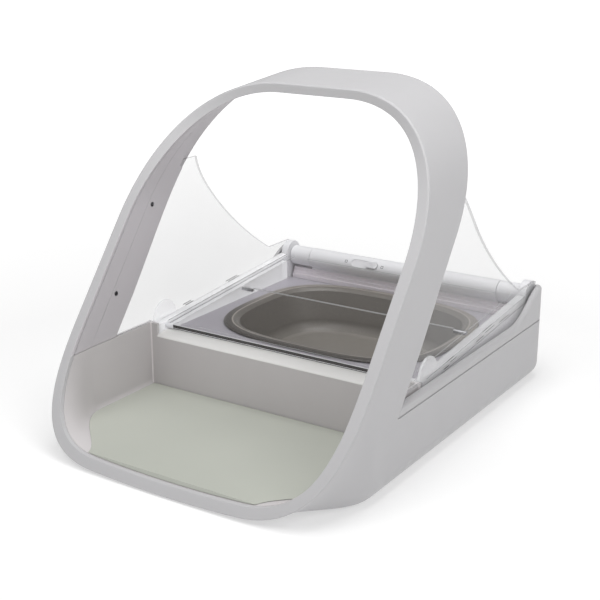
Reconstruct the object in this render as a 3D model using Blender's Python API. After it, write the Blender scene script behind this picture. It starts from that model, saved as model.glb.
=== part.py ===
"""A microchip pet feeder, as the parts it comes apart into on a bench.

Metres, +Z up. The front faces -Y, X runs across, and the origin lies on the
floor under the middle of the body. A ring-shaped arch leans back over a low
front tray; behind it a folding clear lid covers the bowl. Its rear panel turns
on a tube across the back, and its front edge slides on pegs in side rails.
"""

import math

import bmesh
import bpy
from mathutils import Matrix, Vector

OBJECT_NAME = "microchip_pet_feeder"

# Whole body, its depth taken over the buttons that stand out of the back
BODY_WIDTH = 0.2300
BODY_DEPTH = 0.3254
BUTTON_STANDOUT = 0.0006
HALF_WIDTH = BODY_WIDTH / 2
FACE_Y = -BODY_DEPTH / 2
REAR_Y = BODY_DEPTH / 2 - BUTTON_STANDOUT
FOOT_STANDOUT = 0.0010
BOTTOM_Z = FOOT_STANDOUT
CLEARANCE = 0.0003
OVERRUN = 0.0050

# The arch's front ring, measured in its own leaning plane
LEAN = math.radians(37.3)
RING_SLANT_HEIGHT = 0.2849
RING_LOWER_BOW = 0.0016
RING_LOWER_RUN = 0.0587
RING_LOWER_RISE = 0.0950
RING_UPPER_RUN = 0.0883
RING_UPPER_DROP = 0.1143
LOWER_HANDLE_SHARES = (0.90, 0.48)
UPPER_HANDLE_SHARES = (0.58, 0.62)
ROUND_HANDLE_SHARE = 0.55
LIP_WIDTH = 0.0077
LIP_THICKNESS = 0.0030
LIP_ROUND = 0.0010
ARCH_DEPTH = 0.0535
ARCH_INNER_DEPTH = 0.0455
ARCH_REAR_EDGE = 0.0012
ARCH_CROWN_TAPER = 0.0060
ARCH_TAPER_START = 0.0080
ARCH_RISE = math.radians(5.3)
BLEND_DEPTH = 0.0600
BLEND_DEPTH_SHARES = (0.16, 0.42, 0.72)
BLEND_DEPTHS = tuple(BLEND_DEPTH * share for share in BLEND_DEPTH_SHARES)
CORNER_STEPS = 12

# Lower housing
HOUSING_WALL = 0.0025
BASE_EDGE_RADIUS = 0.0120
REAR_CORNER_RADIUS = 0.0200
REAR_STRAIGHT_LENGTH = 0.1021
BASE_STRAIGHT_Y = REAR_Y - REAR_STRAIGHT_LENGTH
SEAM_Z = 0.0463
TROUGH_HEIGHT = 0.0800
REAR_STEPS = 6
# Walls that nearly share a surface leave slivers with the exact solver, so these pieces use the other one.
CLOSE_WALLED = ("lower_housing", "lid_rear_panel", "lid_front_panel")

# Front tray and mat
TRAY_TOP_Z = 0.0556
TRAY_WALL = 0.0023
TRAY_LENGTH = 0.1244
STEP_Y = FACE_Y + TRAY_LENGTH
STEP_TOP_Z = 0.0457
LEDGE_LENGTH = 0.0143
LEDGE_REAR_Y = STEP_Y + LEDGE_LENGTH
LEDGE_TOP_Z = 0.0486
LEDGE_ROUND_STEPS = 4
MAT_TOP_Z = 0.0095
MAT_CLEARANCE = 0.0004

# Arch lining and antenna
LINING_DEPTH = 0.0200
LINING_WALL = 0.0033
ANTENNA_THICKNESS = 0.0013
ANTENNA_START = 0.0050
ANTENNA_WIDTH = 0.0100

# Sensors in the arch's inner walls, as depth behind the ring and height
SENSOR_DEPTH = 0.0245
SENSOR_HEIGHTS = (0.0867, 0.1414)
SENSOR_RADIUS = 0.0015
SENSOR_LENGTH = 0.0045

# Upper rim and deck
RIM_WIDTH = 0.0040
RIM_ROUND = 0.0030
RIM_Z = 0.0534
RIM_EAR_Z = 0.0725
RIM_REAR_Z = 0.0640
RIM_SWEEP_LENGTH = 0.0741
RIM_SWEEP_START_Y = REAR_Y - RIM_SWEEP_LENGTH
RIM_EAR_INSET = 0.0161
RIM_EAR_Y = REAR_Y - RIM_EAR_INSET
RIM_EAR_SPREAD = 0.0170
RIM_ROUND_STEPS = 3
REAR_RIM_SHARES = (0.94, 0.86, 0.5)
SIDE_STATION_SHARES = (0.0, 0.25, 0.40, 0.55, 0.70, 0.85)
DECK_TOP_Z = 0.0456
DECK_THICKNESS = 0.0030
DECK_FRONT_Y = LEDGE_REAR_Y + CLEARANCE
DECK_SIDE_STRIP = 0.0190
DECK_OPENING_HALF = HALF_WIDTH - DECK_SIDE_STRIP
DECK_FRONT_STRIP = 0.0047
DECK_OPENING_FRONT_Y = DECK_FRONT_Y + DECK_FRONT_STRIP
DECK_REAR_STRIP = 0.0281
DECK_OPENING_REAR_Y = REAR_Y - DECK_REAR_STRIP
REAR_SHELF_INSET = 0.0109
REAR_SHELF_FRONT_Y = REAR_Y - REAR_SHELF_INSET
REAR_SHELF_LOW_Z = 0.0560
REAR_SHELF_TOP_Z = 0.0615

# Side rails, and the plate and plinth that fit between them
RAIL_SIDE_INSET = 0.0068
RAIL_THICKNESS = 0.0060
RAIL_OUTER_X = HALF_WIDTH - RAIL_SIDE_INSET
RAIL_INNER_X = RAIL_OUTER_X - RAIL_THICKNESS
BETWEEN_RAILS_X = RAIL_INNER_X - CLEARANCE
PLINTH_FRONT_INSET = 0.0252
PLINTH_FRONT_Y = REAR_Y - PLINTH_FRONT_INSET

# Bowl and the tray round it
BOWL_SIDE_MARGIN = 0.0255
BOWL_HALF_WIDTH = HALF_WIDTH - BOWL_SIDE_MARGIN
BOWL_SIDE_OFFSET = 0.0060
BOWL_END_MARGIN = 0.0075
BOWL_CENTRE_Y = (LEDGE_REAR_Y + PLINTH_FRONT_Y) / 2 + BOWL_SIDE_OFFSET
BOWL_HALF_LENGTH = (PLINTH_FRONT_Y - LEDGE_REAR_Y) / 2 - BOWL_END_MARGIN
BOWL_POWER = 3.2
BOWL_RIM_Z = 0.0494
BOWL_RIM_WIDTH = 0.0085
BOWL_RIM_LIP = 0.0022
BOWL_RIM_BEAD_SHARE = 0.6
BOWL_DEPTH = 0.0330
BOWL_WALL = 0.0020
BOWL_WALL_DRAFT = 0.0060
BOWL_FLOOR_RADIUS = 0.0100
BOWL_SIDES = 40
TRAY_PLATE_TOP_Z = 0.0470
TRAY_PLATE_HALF = BETWEEN_RAILS_X
TRAY_PLATE_REAR_Y = PLINTH_FRONT_Y - CLEARANCE
WELL_CLEARANCE = 0.0010
WELL_WALL = 0.0015

# Lid: axis on the tube, middle hinge and front pegs on one straight line
LID_AXIS_INSET = 0.0196
LID_AXIS_Y = REAR_Y - LID_AXIS_INSET
LID_AXIS_Z = 0.0650
PEG_SETBACK = 0.0010
LID_FRONT_Y = LEDGE_REAR_Y - PEG_SETBACK
LID_FRONT_Z = 0.0508
LID_SLOPE = math.atan2(LID_AXIS_Z - LID_FRONT_Z, LID_AXIS_Y - LID_FRONT_Y)
LID_REACH = math.hypot(LID_AXIS_Z - LID_FRONT_Z, LID_AXIS_Y - LID_FRONT_Y)
PANEL_LENGTH = LID_REACH / 2
PANEL_THICKNESS = 0.0022
LID_SIDE_INSET = 0.0190
LID_HALF_WIDTH = HALF_WIDTH - LID_SIDE_INSET
LID_LIP_OVERHANG = 0.0022
LID_LIP_BELOW = 0.0012
LID_LIP_ABOVE = 0.0028
FOLD_GAP = 0.0004
KNUCKLE_RADIUS = 0.0026
KNUCKLE_WIDTH = 0.0045
KNUCKLE_INSET = 0.0100
HINGE_PIN_RADIUS = 0.0012
PEG_RADIUS = 0.0018
PEG_END_GAP = 0.0020
PEG_REACH = RAIL_OUTER_X - LID_HALF_WIDTH - PEG_END_GAP
PEG_SOCKET_DEPTH = 0.0060

# Tube across the back
TUBE_RADIUS = 0.0080
TUBE_BORE_RADIUS = 0.0065
BARREL_LENGTH = 0.0188
BARREL_RADIUS = 0.0078
BARREL_END_X = BETWEEN_RAILS_X
TUBE_HALF_LENGTH = BARREL_END_X - BARREL_LENGTH
SHAFT_RADIUS = 0.0020
SHAFT_END_COVER = 0.0020
SHAFT_END_X = RAIL_OUTER_X - SHAFT_END_COVER
SHAFT_COUPLING_RADIUS = 0.0045
SHAFT_COUPLING_LENGTH = 0.0100
MOTOR_RADIUS = 0.0062
MOTOR_START_X = -0.0200
MOTOR_END_X = 0.0400
MOTOR_NOSE = 0.0040
IDLE_INSET = 0.0231
IDLE_START_X = TUBE_HALF_LENGTH - IDLE_INSET
PLINTH_REAR_INSET = 0.0136
PLINTH_REAR_Y = REAR_Y - PLINTH_REAR_INSET
PLINTH_END_GAP = 0.0010
PLINTH_HALF_WIDTH = BETWEEN_RAILS_X - PLINTH_END_GAP
PLINTH_TOP_Z = 0.0556
PLINTH_STEP = 0.0013
PLINTH_STEP_HEIGHT = 0.0026
TUBE_WEB_HALF = 0.0025

# Delay switch in the tube's upper front
SWITCH_ANGLE = math.radians(30)
SWITCH_RECESS_LENGTH = 0.0240
SWITCH_RECESS_WIDTH = 0.0060
SWITCH_RECESS_DEPTH = 0.0009
SWITCH_X = -0.0310
SLIDER_LENGTH = 0.0104
SLIDER_STANDOUT = 0.0010
SLIDER_RIBS = 5
SLIDER_RIB_HEIGHT = 0.0005

# Slots and tabs of the side rails, and the caps that hold the tube's ends
RAIL_WALL = 0.0016
RAIL_FRONT_SETBACK = 0.0029
RAIL_FRONT_Y = STEP_Y + RAIL_FRONT_SETBACK
RAIL_AXIS_GAP = 0.0115
RAIL_REAR_Y = LID_AXIS_Y - RAIL_AXIS_GAP
RAIL_FLANGE = 0.0018
RAIL_SLOT_PLAY = 0.0004
RAIL_TAB_RADIUS = 0.0125
RAIL_TAB_OFFSET = 0.0015
RAIL_TAB_Y = LEDGE_REAR_Y + RAIL_TAB_OFFSET
RAIL_TAB_Z = 0.0560
CAP_AXIS_REACH = 0.0083
CAP_REAR_Y = LID_AXIS_Y + CAP_AXIS_REACH
CAP_INNER_X = RAIL_INNER_X
CAP_TOP_Z = 0.0770

# Clear side panels
SIDE_PANEL_OUTER = 0.0043
SIDE_PANEL_INNER = 0.0065
SIDE_PANEL_FRONT_DEPTH = 0.0400
SIDE_PANEL_SLOT_PLAY = 0.0003
SIDE_PANEL_TOP_SETBACK = 0.1807
SIDE_PANEL_TOP_Y = FACE_Y + SIDE_PANEL_TOP_SETBACK
SIDE_PANEL_TOP_Z = 0.1680
SIDE_PANEL_LOW_GAP = 0.0275
SIDE_PANEL_LOW_Y = LID_AXIS_Y - SIDE_PANEL_LOW_GAP
SIDE_PANEL_LOW_Z = 0.0765
SIDE_PANEL_REAR_REACH = 0.0015
SIDE_PANEL_REAR_Y = LID_AXIS_Y + SIDE_PANEL_REAR_REACH
SIDE_PANEL_CURVE_SHARES = (0.20, 0.42, 0.62, 0.34)
PANEL_CURVE_STEPS = 10

# Batteries under the ledge
BOX_WALL = 0.0010
BOX_INNER_X = 0.0002
BOX_SIDE_INSET = 0.0083
BOX_OUTER_X = HALF_WIDTH - BOX_SIDE_INSET
BOX_FRONT_Y = STEP_Y + TRAY_WALL + CLEARANCE
BOX_REAR_REACH = 0.0176
BOX_REAR_Y = LEDGE_REAR_Y + BOX_REAR_REACH
BOX_LOW_Z = 0.0046
BOX_TOP_Z = 0.0320
CELL_RADIUS = 0.0131
CELL_END_ROOM = 0.0065
CELL_LENGTH = (BOX_OUTER_X - BOX_INNER_X - CELL_END_ROOM) / 2
CELL_CAP_RADIUS = 0.0033
CELL_CAP_HEIGHT = 0.0020
CELL_Y = (BOX_FRONT_Y + BOX_REAR_Y) / 2
CELL_Z = 0.0167
CELL_BORE_PLAY = 0.0003
DOOR_INNER_X = 0.0020
DOOR_END_INSET = 0.0057
DOOR_EDGE_INSET = 0.0015
DOOR_OUTER_X = BOX_OUTER_X - DOOR_END_INSET
DOOR_FRONT_Y = BOX_FRONT_Y + DOOR_EDGE_INSET
DOOR_REAR_Y = BOX_REAR_Y - DOOR_EDGE_INSET
DOOR_THICKNESS = 0.0022
DOOR_GRIP_LENGTH = 0.0140
DOOR_GRIP_WIDTH = 0.0060
DOOR_GRIP_DEPTH = 0.0008
PLATE_THICKNESS = 0.0006
PLATE_HALF = 0.0060
SPRING_WIRE_RADIUS = 0.0004
SPRING_CELL_RADIUS = 0.0022
SPRING_WALL_RADIUS = 0.0062
SPRING_TURNS = 2.5
SPRING_POINTS_PER_TURN = 10
SPRING_WIRE_SIDES = 6

# Board and buttons on the rear wall
BOARD_HALF_WIDTH = 0.0400
BOARD_LOW_Z = 0.0150
BOARD_HIGH_Z = 0.0420
BOARD_THICKNESS = 0.0016
BOARD_WALL_GAP = 0.0081
BOARD_REAR_Y = REAR_Y - BOARD_WALL_GAP
BOSS_RADIUS = 0.0030
BOSS_X = 0.0320
BUTTON_X = 0.0140
BUTTON_Z = 0.0300
BUTTON_RADIUS = 0.0050
BUTTON_TRAVEL = 0.0012
BUTTON_FLANGE = 0.0012
BUTTON_FLANGE_THICKNESS = 0.0015
SWITCH_BODY_HALF = 0.0030
SWITCH_BODY_DEPTH = 0.0020

# Feet and base screws
FOOT_RADIUS = 0.0070
FOOT_RECESS_DEPTH = 0.0012
FRONT_FOOT_SIDE_INSET = 0.0450
FRONT_FOOT_INSET = 0.0547
REAR_FOOT_SIDE_INSET = 0.0300
REAR_FOOT_INSET = 0.0271
FOOT_PLACES = (
    (HALF_WIDTH - FRONT_FOOT_SIDE_INSET, FACE_Y + FRONT_FOOT_INSET),
    (HALF_WIDTH - REAR_FOOT_SIDE_INSET, REAR_Y - REAR_FOOT_INSET),
)
SCREW_HEAD_RADIUS = 0.0030
SCREW_SHANK_RADIUS = 0.0014
SCREW_HEAD_HEIGHT = 0.0013
SCREW_LENGTH = 0.0080
SCREW_SEAT_Z = 0.0026
SCREW_POST_RADIUS = 0.0036
SCREW_POST_TOP_Z = 0.0120
SCREW_SIDE_INSET = 0.0170
REAR_SCREW_SIDE_INSET = 0.0550
FRONT_SCREW_BOX_GAP = 0.0104
MIDDLE_SCREW_INSET = 0.0721
REAR_SCREW_INSET = 0.0161
SCREW_PLACES = (
    (HALF_WIDTH - SCREW_SIDE_INSET, BOX_REAR_Y + FRONT_SCREW_BOX_GAP),
    (HALF_WIDTH - SCREW_SIDE_INSET, REAR_Y - MIDDLE_SCREW_INSET),
    (HALF_WIDTH - REAR_SCREW_SIDE_INSET, REAR_Y - REAR_SCREW_INSET),
)
ROUND_SIDES = 20
SMALL_SIDES = 12

FINISHES = {
    "shell": ((0.62, 0.62, 0.63), 0.45, 0.0),
    "lining": ((0.52, 0.51, 0.52), 0.50, 0.0),
    "lavender": ((0.55, 0.54, 0.58), 0.45, 0.0),
    "mat": ((0.46, 0.48, 0.43), 0.70, 0.0),
    "bowl": ((0.17, 0.16, 0.14), 0.40, 0.0),
    "clear": ((0.90, 0.92, 0.93), 0.10, 0.0),
    "white": ((0.75, 0.75, 0.77), 0.35, 0.0),
    "rubber": ((0.05, 0.05, 0.05), 0.80, 0.0),
    "steel": ((0.60, 0.60, 0.62), 0.30, 1.0),
    "board": ((0.02, 0.16, 0.06), 0.50, 0.0),
    "copper": ((0.70, 0.33, 0.16), 0.35, 1.0),
    "cell": ((0.10, 0.10, 0.11), 0.40, 0.0),
    "dark": ((0.03, 0.03, 0.04), 0.25, 0.0),
}


def clear_scene():
    for obj in list(bpy.data.objects):
        bpy.data.objects.remove(obj, do_unlink=True)


def new_collection(name):
    collection = bpy.data.collections.new(name)
    bpy.context.scene.collection.children.link(collection)
    return collection


def finish_material(name):
    found = bpy.data.materials.get(name)
    if found:
        return found
    colour, roughness, metallic = FINISHES[name]
    material = bpy.data.materials.new(name)
    material.use_nodes = True
    shader = material.node_tree.nodes["Principled BSDF"]
    shader.inputs["Base Color"].default_value = (*colour, 1.0)
    shader.inputs["Roughness"].default_value = roughness
    shader.inputs["Metallic"].default_value = metallic
    return material


clear_scene()
PARTS = new_collection(OBJECT_NAME)
CUTTERS = new_collection("cutters")
CUTTERS.hide_render = True
SMOOTH_ANGLE = math.radians(32)


def object_from(mesh, name, finish):
    """A part with its finish or, where finish is None, a cutter."""
    obj = bpy.data.objects.new(name, mesh)
    if finish is None:
        CUTTERS.objects.link(obj)
        obj.hide_render = True
        obj.display_type = "WIRE"
        return obj
    PARTS.objects.link(obj)
    mesh.materials.append(finish_material(finish))
    mesh.shade_smooth()
    mesh.set_sharp_from_angle(angle=SMOOTH_ANGLE)
    return obj


def mesh_from(bm, name):
    bmesh.ops.recalc_face_normals(bm, faces=bm.faces)
    mesh = bpy.data.meshes.new(name)
    bm.to_mesh(mesh)
    bm.free()
    return mesh


def box(name, low, high, finish=None):
    size = [top - bottom for bottom, top in zip(low, high)]
    middle = [(top + bottom) / 2 for bottom, top in zip(low, high)]
    bm = bmesh.new()
    bmesh.ops.create_cube(bm, size=1.0, matrix=Matrix.Diagonal((*size, 1.0)))
    obj = object_from(mesh_from(bm, name), name, finish)
    obj.location = middle
    return obj


AXIS_TURNS = {
    "X": Matrix.Rotation(math.pi / 2, 4, "Y"),
    "Y": Matrix.Rotation(-math.pi / 2, 4, "X"),
    "Z": Matrix.Identity(4),
}


def turned(name, profile, axis, centre, finish=None, sides=ROUND_SIDES):
    """Discs of (radius, place along the axis) joined into one turned solid."""
    bm = bmesh.new()
    rings = []
    for radius, along in profile:
        ring = []
        for step in range(sides):
            angle = math.tau * step / sides
            ring.append(bm.verts.new((radius * math.cos(angle), radius * math.sin(angle), along)))
        rings.append(ring)
    join_rings(bm, rings)
    bm.transform(AXIS_TURNS[axis])
    obj = object_from(mesh_from(bm, name), name, finish)
    obj.location = centre
    return obj


def join_rings(bm, rings):
    for first, second in zip(rings, rings[1:]):
        for index, vertex in enumerate(first):
            following = (index + 1) % len(first)
            bm.faces.new((vertex, first[following], second[following], second[index]))
    bm.faces.new(rings[0][::-1])
    bm.faces.new(rings[-1])


def loft(name, sections, finish=None):
    """Closed sections of equal count, skinned one after another, ends capped."""
    bm = bmesh.new()
    rings = [[bm.verts.new(point) for point in section] for section in sections]
    join_rings(bm, rings)
    return object_from(mesh_from(bm, name), name, finish)


def side_prism(name, outline, x_low, x_high, finish=None):
    """A (Y, Z) outline made solid between two X values."""
    sections = [[(x, y, z) for y, z in outline] for x in (x_low, x_high)]
    return loft(name, sections, finish)


def modify(obj, operation, other):
    modifier = obj.modifiers.new(f"{operation.lower()}_{other.name}", "BOOLEAN")
    modifier.operation = operation
    modifier.object = other
    modifier.solver = "MANIFOLD" if obj.name in CLOSE_WALLED else "EXACT"


def cut(obj, *others):
    for other in others:
        modify(obj, "DIFFERENCE", other)


def join(obj, *others):
    for other in others:
        modify(obj, "UNION", other)


def keep_within(obj, *others):
    for other in others:
        modify(obj, "INTERSECT", other)


def smooth_step(value):
    value = min(max(value, 0.0), 1.0)
    return value * value * (3 - 2 * value)


def mix(first, second, share):
    return first + (second - first) * share


def bezier(points, steps):
    """Points along a cubic curve, its start left out."""
    found = []
    for step in range(1, steps + 1):
        t = step / steps
        weights = ((1 - t) ** 3, 3 * t * (1 - t) ** 2, 3 * t * t * (1 - t), t**3)
        found.append(tuple(sum(w * p[axis] for w, p in zip(weights, points)) for axis in (0, 1)))
    return found


def lower_corner(half_width, blend, angle):
    """The outline from the bottom's middle round to the side, as (x, height along the section)."""
    edge_rise = BASE_EDGE_RADIUS / math.cos(angle)
    run = mix(RING_LOWER_RUN, BASE_EDGE_RADIUS, blend)
    rise = mix(RING_LOWER_RISE, edge_rise, blend)
    bow = mix(RING_LOWER_BOW, 0.0, blend)
    out_share = mix(LOWER_HANDLE_SHARES[0], ROUND_HANDLE_SHARE, blend)
    up_share = mix(LOWER_HANDLE_SHARES[1], ROUND_HANDLE_SHARE, blend)
    start_x = half_width - run
    bow_slope = 2 * bow / start_x
    start = (start_x, bow)
    leaving = (start_x + run * out_share, bow + run * out_share * bow_slope)
    arriving = (half_width, rise - rise * up_share)
    corner = bezier((start, leaving, arriving, (half_width, rise)), CORNER_STEPS)
    middle = [(0.0, 0.0), (start_x / 2, bow / 4), start]
    return middle + corner


def upper_corner(half_width):
    start = RING_SLANT_HEIGHT - RING_UPPER_DROP
    end_x = half_width - RING_UPPER_RUN
    leaving = (half_width, start + RING_UPPER_DROP * UPPER_HANDLE_SHARES[0])
    arriving = (end_x + RING_UPPER_RUN * UPPER_HANDLE_SHARES[1], RING_SLANT_HEIGHT)
    points = ((half_width, start), leaving, arriving, (end_x, RING_SLANT_HEIGHT))
    return [(half_width, start)] + bezier(points, CORNER_STEPS) + [(0.0, RING_SLANT_HEIGHT)]


def drawn_in(points, inset):
    """An outline moved in by one distance or, where inset is a function, by its value at each height."""
    found = []
    for index, (x, height) in enumerate(points):
        before = points[max(index - 1, 0)]
        after = points[min(index + 1, len(points) - 1)]
        along = Vector((after[0] - before[0], after[1] - before[1])).normalized()
        inward = Vector((-along.y, along.x))
        if x == 0.0:
            inward = Vector((0.0, round(inward.y)))
        distance = inset(height) if callable(inset) else inset
        found.append((x + inward.x * distance, height + inward.y * distance))
    return found


def mirrored(half):
    """A half outline that starts and may end on the middle, as a whole one."""
    left = [(-x, height) for x, height in half if x > 0.0]
    return half + left[::-1]


def front_offset():
    """How far the rounded lip's foremost point lies behind its sharp corner."""
    angles = [math.pi / 2 * step / ROUND_SIDES for step in range(ROUND_SIDES + 1)]
    places = [(1 - math.cos(a)) + (1 - math.sin(a)) * math.sin(LEAN) for a in angles]
    return LIP_ROUND * min(places)


FRONT_Y = -BODY_DEPTH / 2 - front_offset()


def leaning_section(points, depth, rising=True):
    """Outline points laid in the ring's leaning plane, moved back by depth."""
    side_start = RING_LOWER_RISE * math.cos(LEAN)
    side_length = (RING_SLANT_HEIGHT - RING_UPPER_DROP - RING_LOWER_RISE) * math.cos(LEAN)
    section = []
    for x, slant in points:
        height = slant * math.cos(LEAN)
        rise = smooth_step((height - side_start) / side_length) if rising else 0.0
        y = FRONT_Y + depth + slant * math.sin(LEAN)
        lift = rise * math.tan(ARCH_RISE) * max(depth, 0.0)
        section.append((x, y, BOTTOM_Z + height + lift))
    return section


def blend_at(depth):
    return smooth_step(depth / BLEND_DEPTH)


def ring_section(inset, depth):
    half = lower_corner(HALF_WIDTH, blend_at(depth), LEAN) + upper_corner(HALF_WIDTH)
    return leaning_section(mirrored(drawn_in(half, inset)), depth)


def trough_section(inset, depth):
    """The ring's lower part only, run up its sides to a level above the deck."""
    half = lower_corner(HALF_WIDTH, blend_at(depth), LEAN)
    half.append((HALF_WIDTH, RING_LOWER_RISE + OVERRUN))
    return leaning_section(mirrored(drawn_in(half, inset)), depth, rising=False)


def upright_trough(inset, y, narrowing=0.0, lift=0.0):
    half = lower_corner(HALF_WIDTH - narrowing, 1.0, 0.0)
    half.append((HALF_WIDTH - narrowing, TROUGH_HEIGHT))
    points = mirrored(drawn_in(half, inset))
    low = BOTTOM_Z + lift
    top = BOTTOM_Z + TROUGH_HEIGHT
    return [(x, y, low + height * (top - low) / TROUGH_HEIGHT) for x, height in points]


def rear_troughs(inset):
    """Sections round the rear corners, where the sides draw in and the bottom edge lifts."""
    radius = REAR_CORNER_RADIUS - inset
    edge = BASE_EDGE_RADIUS - inset
    sections = []
    for step in range(REAR_STEPS + 1):
        angle = math.pi / 2 * step / REAR_STEPS
        beyond = radius * math.sin(angle)
        narrowing = radius * (1 - math.cos(angle))
        edge_reach = min(max(beyond - (radius - edge), 0.0) / edge, 1.0)
        lift = edge * (1 - math.sqrt(1 - edge_reach**2))
        y = REAR_Y - REAR_CORNER_RADIUS + beyond
        sections.append(upright_trough(inset, y, narrowing, lift))
    return sections


def crown_share(slant):
    side_top = RING_SLANT_HEIGHT - RING_UPPER_DROP
    return smooth_step((slant - side_top) / RING_UPPER_DROP)


def inner_surface_inset(depth):
    """The arch's wall thickness at a depth: constant at the sides, thinning towards the back at the crown."""
    taper = ARCH_CROWN_TAPER * (depth - ARCH_TAPER_START) / (ARCH_INNER_DEPTH - ARCH_TAPER_START)
    taper = min(max(taper, 0.0), ARCH_CROWN_TAPER)
    return lambda slant: LIP_WIDTH - taper * crown_share(slant)


def arch_and_front():
    """The ring-shaped arch as a filled block, with its front edge rounded."""
    sections = []
    for step in range(3):
        angle = math.pi / 4 * step
        inset = LIP_ROUND * (1 - math.sin(angle))
        sections.append(ring_section(inset, LIP_ROUND * (1 - math.cos(angle))))
    for depth in BLEND_DEPTHS + (ARCH_DEPTH,):
        sections.append(ring_section(0.0, depth))
    return loft("lower_housing", sections, "shell")


def arch_opening(name, front, clearance=0.0):
    depths = (front, ARCH_TAPER_START, LINING_DEPTH + OVERRUN, ARCH_INNER_DEPTH)
    sections = []
    for depth in depths:
        base = inner_surface_inset(depth)
        sections.append(ring_section(lambda slant, base=base: base(slant) + clearance, depth))
    for depth in (ARCH_DEPTH + CLEARANCE, ARCH_DEPTH + OVERRUN):
        sections.append(ring_section(ARCH_REAR_EDGE + clearance, depth))
    opening = loft(name, sections)
    cut(opening, below(f"{name}_floor", TRAY_TOP_Z))
    return opening


def front_mouth():
    """The lower half of the ring's opening, through the lip alone."""
    ends = (-OVERRUN, LIP_THICKNESS + OVERRUN)
    mouth = loft("front_mouth", [trough_section(LIP_WIDTH, depth) for depth in ends])
    cut(mouth, above("above_mouth", TRAY_TOP_Z + CLEARANCE))
    return mouth


def trough(name, inset, front_depth):
    between = tuple(depth for depth in BLEND_DEPTHS if depth > front_depth)
    depths = (front_depth,) + between + (BLEND_DEPTH,)
    sections = [trough_section(inset, depth) for depth in depths]
    sections.append(upright_trough(inset, BASE_STRAIGHT_Y))
    return loft(name, sections + rear_troughs(inset))


def tray_trough(name, inset, front_depth, finish=None):
    """The front tray's own hollow or skin: leaning sections run straight back past the step."""
    depths = (front_depth,) + tuple(d for d in BLEND_DEPTHS if d > max(front_depth, 0.0))
    depths += (BLEND_DEPTH, STEP_Y + TRAY_WALL - FRONT_Y + OVERRUN)
    return loft(name, [trough_section(inset, depth) for depth in depths], finish)


def above(name, z):
    far = BODY_DEPTH
    return box(name, (-far, -far, z), (far, far, z + far))


def below(name, z):
    far = BODY_DEPTH
    return box(name, (-far, -far, z - far), (far, far, z))


def behind(name, y):
    far = BODY_DEPTH
    return box(name, (-far, y, -far), (far, y + far, far))


def sensor_y(height):
    return FRONT_Y + (height - BOTTOM_Z) * math.tan(LEAN) + SENSOR_DEPTH


def side_strip(name, side, outer, inner, front_depth, rear_depth):
    """A thin sheet that follows the arch's outline, run straight back."""
    half = lower_corner(HALF_WIDTH, 1.0, LEAN) + upper_corner(HALF_WIDTH)
    upright = [i for i, (x, height) in enumerate(half) if height > BASE_EDGE_RADIUS and x >= HALF_WIDTH]
    start = upright[0]
    outside = drawn_in(half, outer)[start:-1]
    inside = drawn_in(half, inner)[start:-1]
    outline = [(side * x, slant) for x, slant in outside + inside[::-1]]
    return loft(name, [leaning_section(outline, depth) for depth in (front_depth, rear_depth)])


def lower_housing():
    housing = arch_and_front()
    base = trough("base_block", 0.0, BLEND_DEPTHS[-1])
    cut(base, above("above_seam", SEAM_Z))
    cavity = trough("housing_cavity", HOUSING_WALL, LIP_THICKNESS)
    cut(cavity, above("above_tray_walls", TRAY_TOP_Z + CLEARANCE))
    join(housing, base)
    cut(housing, cavity)
    cut(housing, front_mouth(), antenna_pocket(), arch_opening("arch_opening", -OVERRUN))
    for side, word in ((-1, "left"), (1, "right")):
        slot = side_strip(
            f"panel_slot_{word}",
            side,
            SIDE_PANEL_OUTER - SIDE_PANEL_SLOT_PLAY,
            SIDE_PANEL_INNER + SIDE_PANEL_SLOT_PLAY,
            SIDE_PANEL_FRONT_DEPTH - SIDE_PANEL_SLOT_PLAY,
            ARCH_DEPTH + OVERRUN,
        )
        cut(slot, below(f"below_slot_{word}", TRAY_TOP_Z - 2 * CLEARANCE))
        cut(slot, above(f"above_slot_{word}", SIDE_PANEL_TOP_Z + OVERRUN))
        cut(housing, slot)
        for index, height in enumerate(SENSOR_HEIGHTS):
            hole_name = f"sensor_hole_{word}_{index}"
            cut(housing, sensor_pin(hole_name, side, height, None, CLEARANCE))
        floor = (BOTTOM_Z - OVERRUN, BOTTOM_Z + OVERRUN)
        cut(housing, door_block(f"door_opening_{word}", side, 0.0, *floor))
    fit_rear_wall(housing)
    fit_underside(housing)
    return housing


def antenna_pocket():
    inset = HOUSING_WALL - CLEARANCE
    depths = (LIP_THICKNESS - CLEARANCE, BLEND_DEPTHS[0], LINING_DEPTH + CLEARANCE)
    pocket = loft("antenna_pocket", [ring_section(inset, depth) for depth in depths])
    cut(pocket, below("below_pocket", TRAY_TOP_Z - CLEARANCE))
    return pocket


def fit_rear_wall(housing):
    wall = REAR_Y - HOUSING_WALL
    for side, word in ((-1, "left"), (1, "right")):
        boss_start = BOARD_REAR_Y + CLEARANCE
        boss = turned(
            f"board_boss_{word}",
            ((BOSS_RADIUS, boss_start), (BOSS_RADIUS, wall + HOUSING_WALL / 2)),
            "Y",
            (side * BOSS_X, 0.0, BUTTON_Z),
            sides=SMALL_SIDES,
        )
        join(housing, boss)
        reach = BUTTON_RADIUS + CLEARANCE
        hole = turned(
            f"button_hole_{word}",
            ((reach, wall - OVERRUN), (reach, REAR_Y + OVERRUN)),
            "Y",
            (side * BUTTON_X, 0.0, BUTTON_Z),
        )
        cut(housing, hole)


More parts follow.
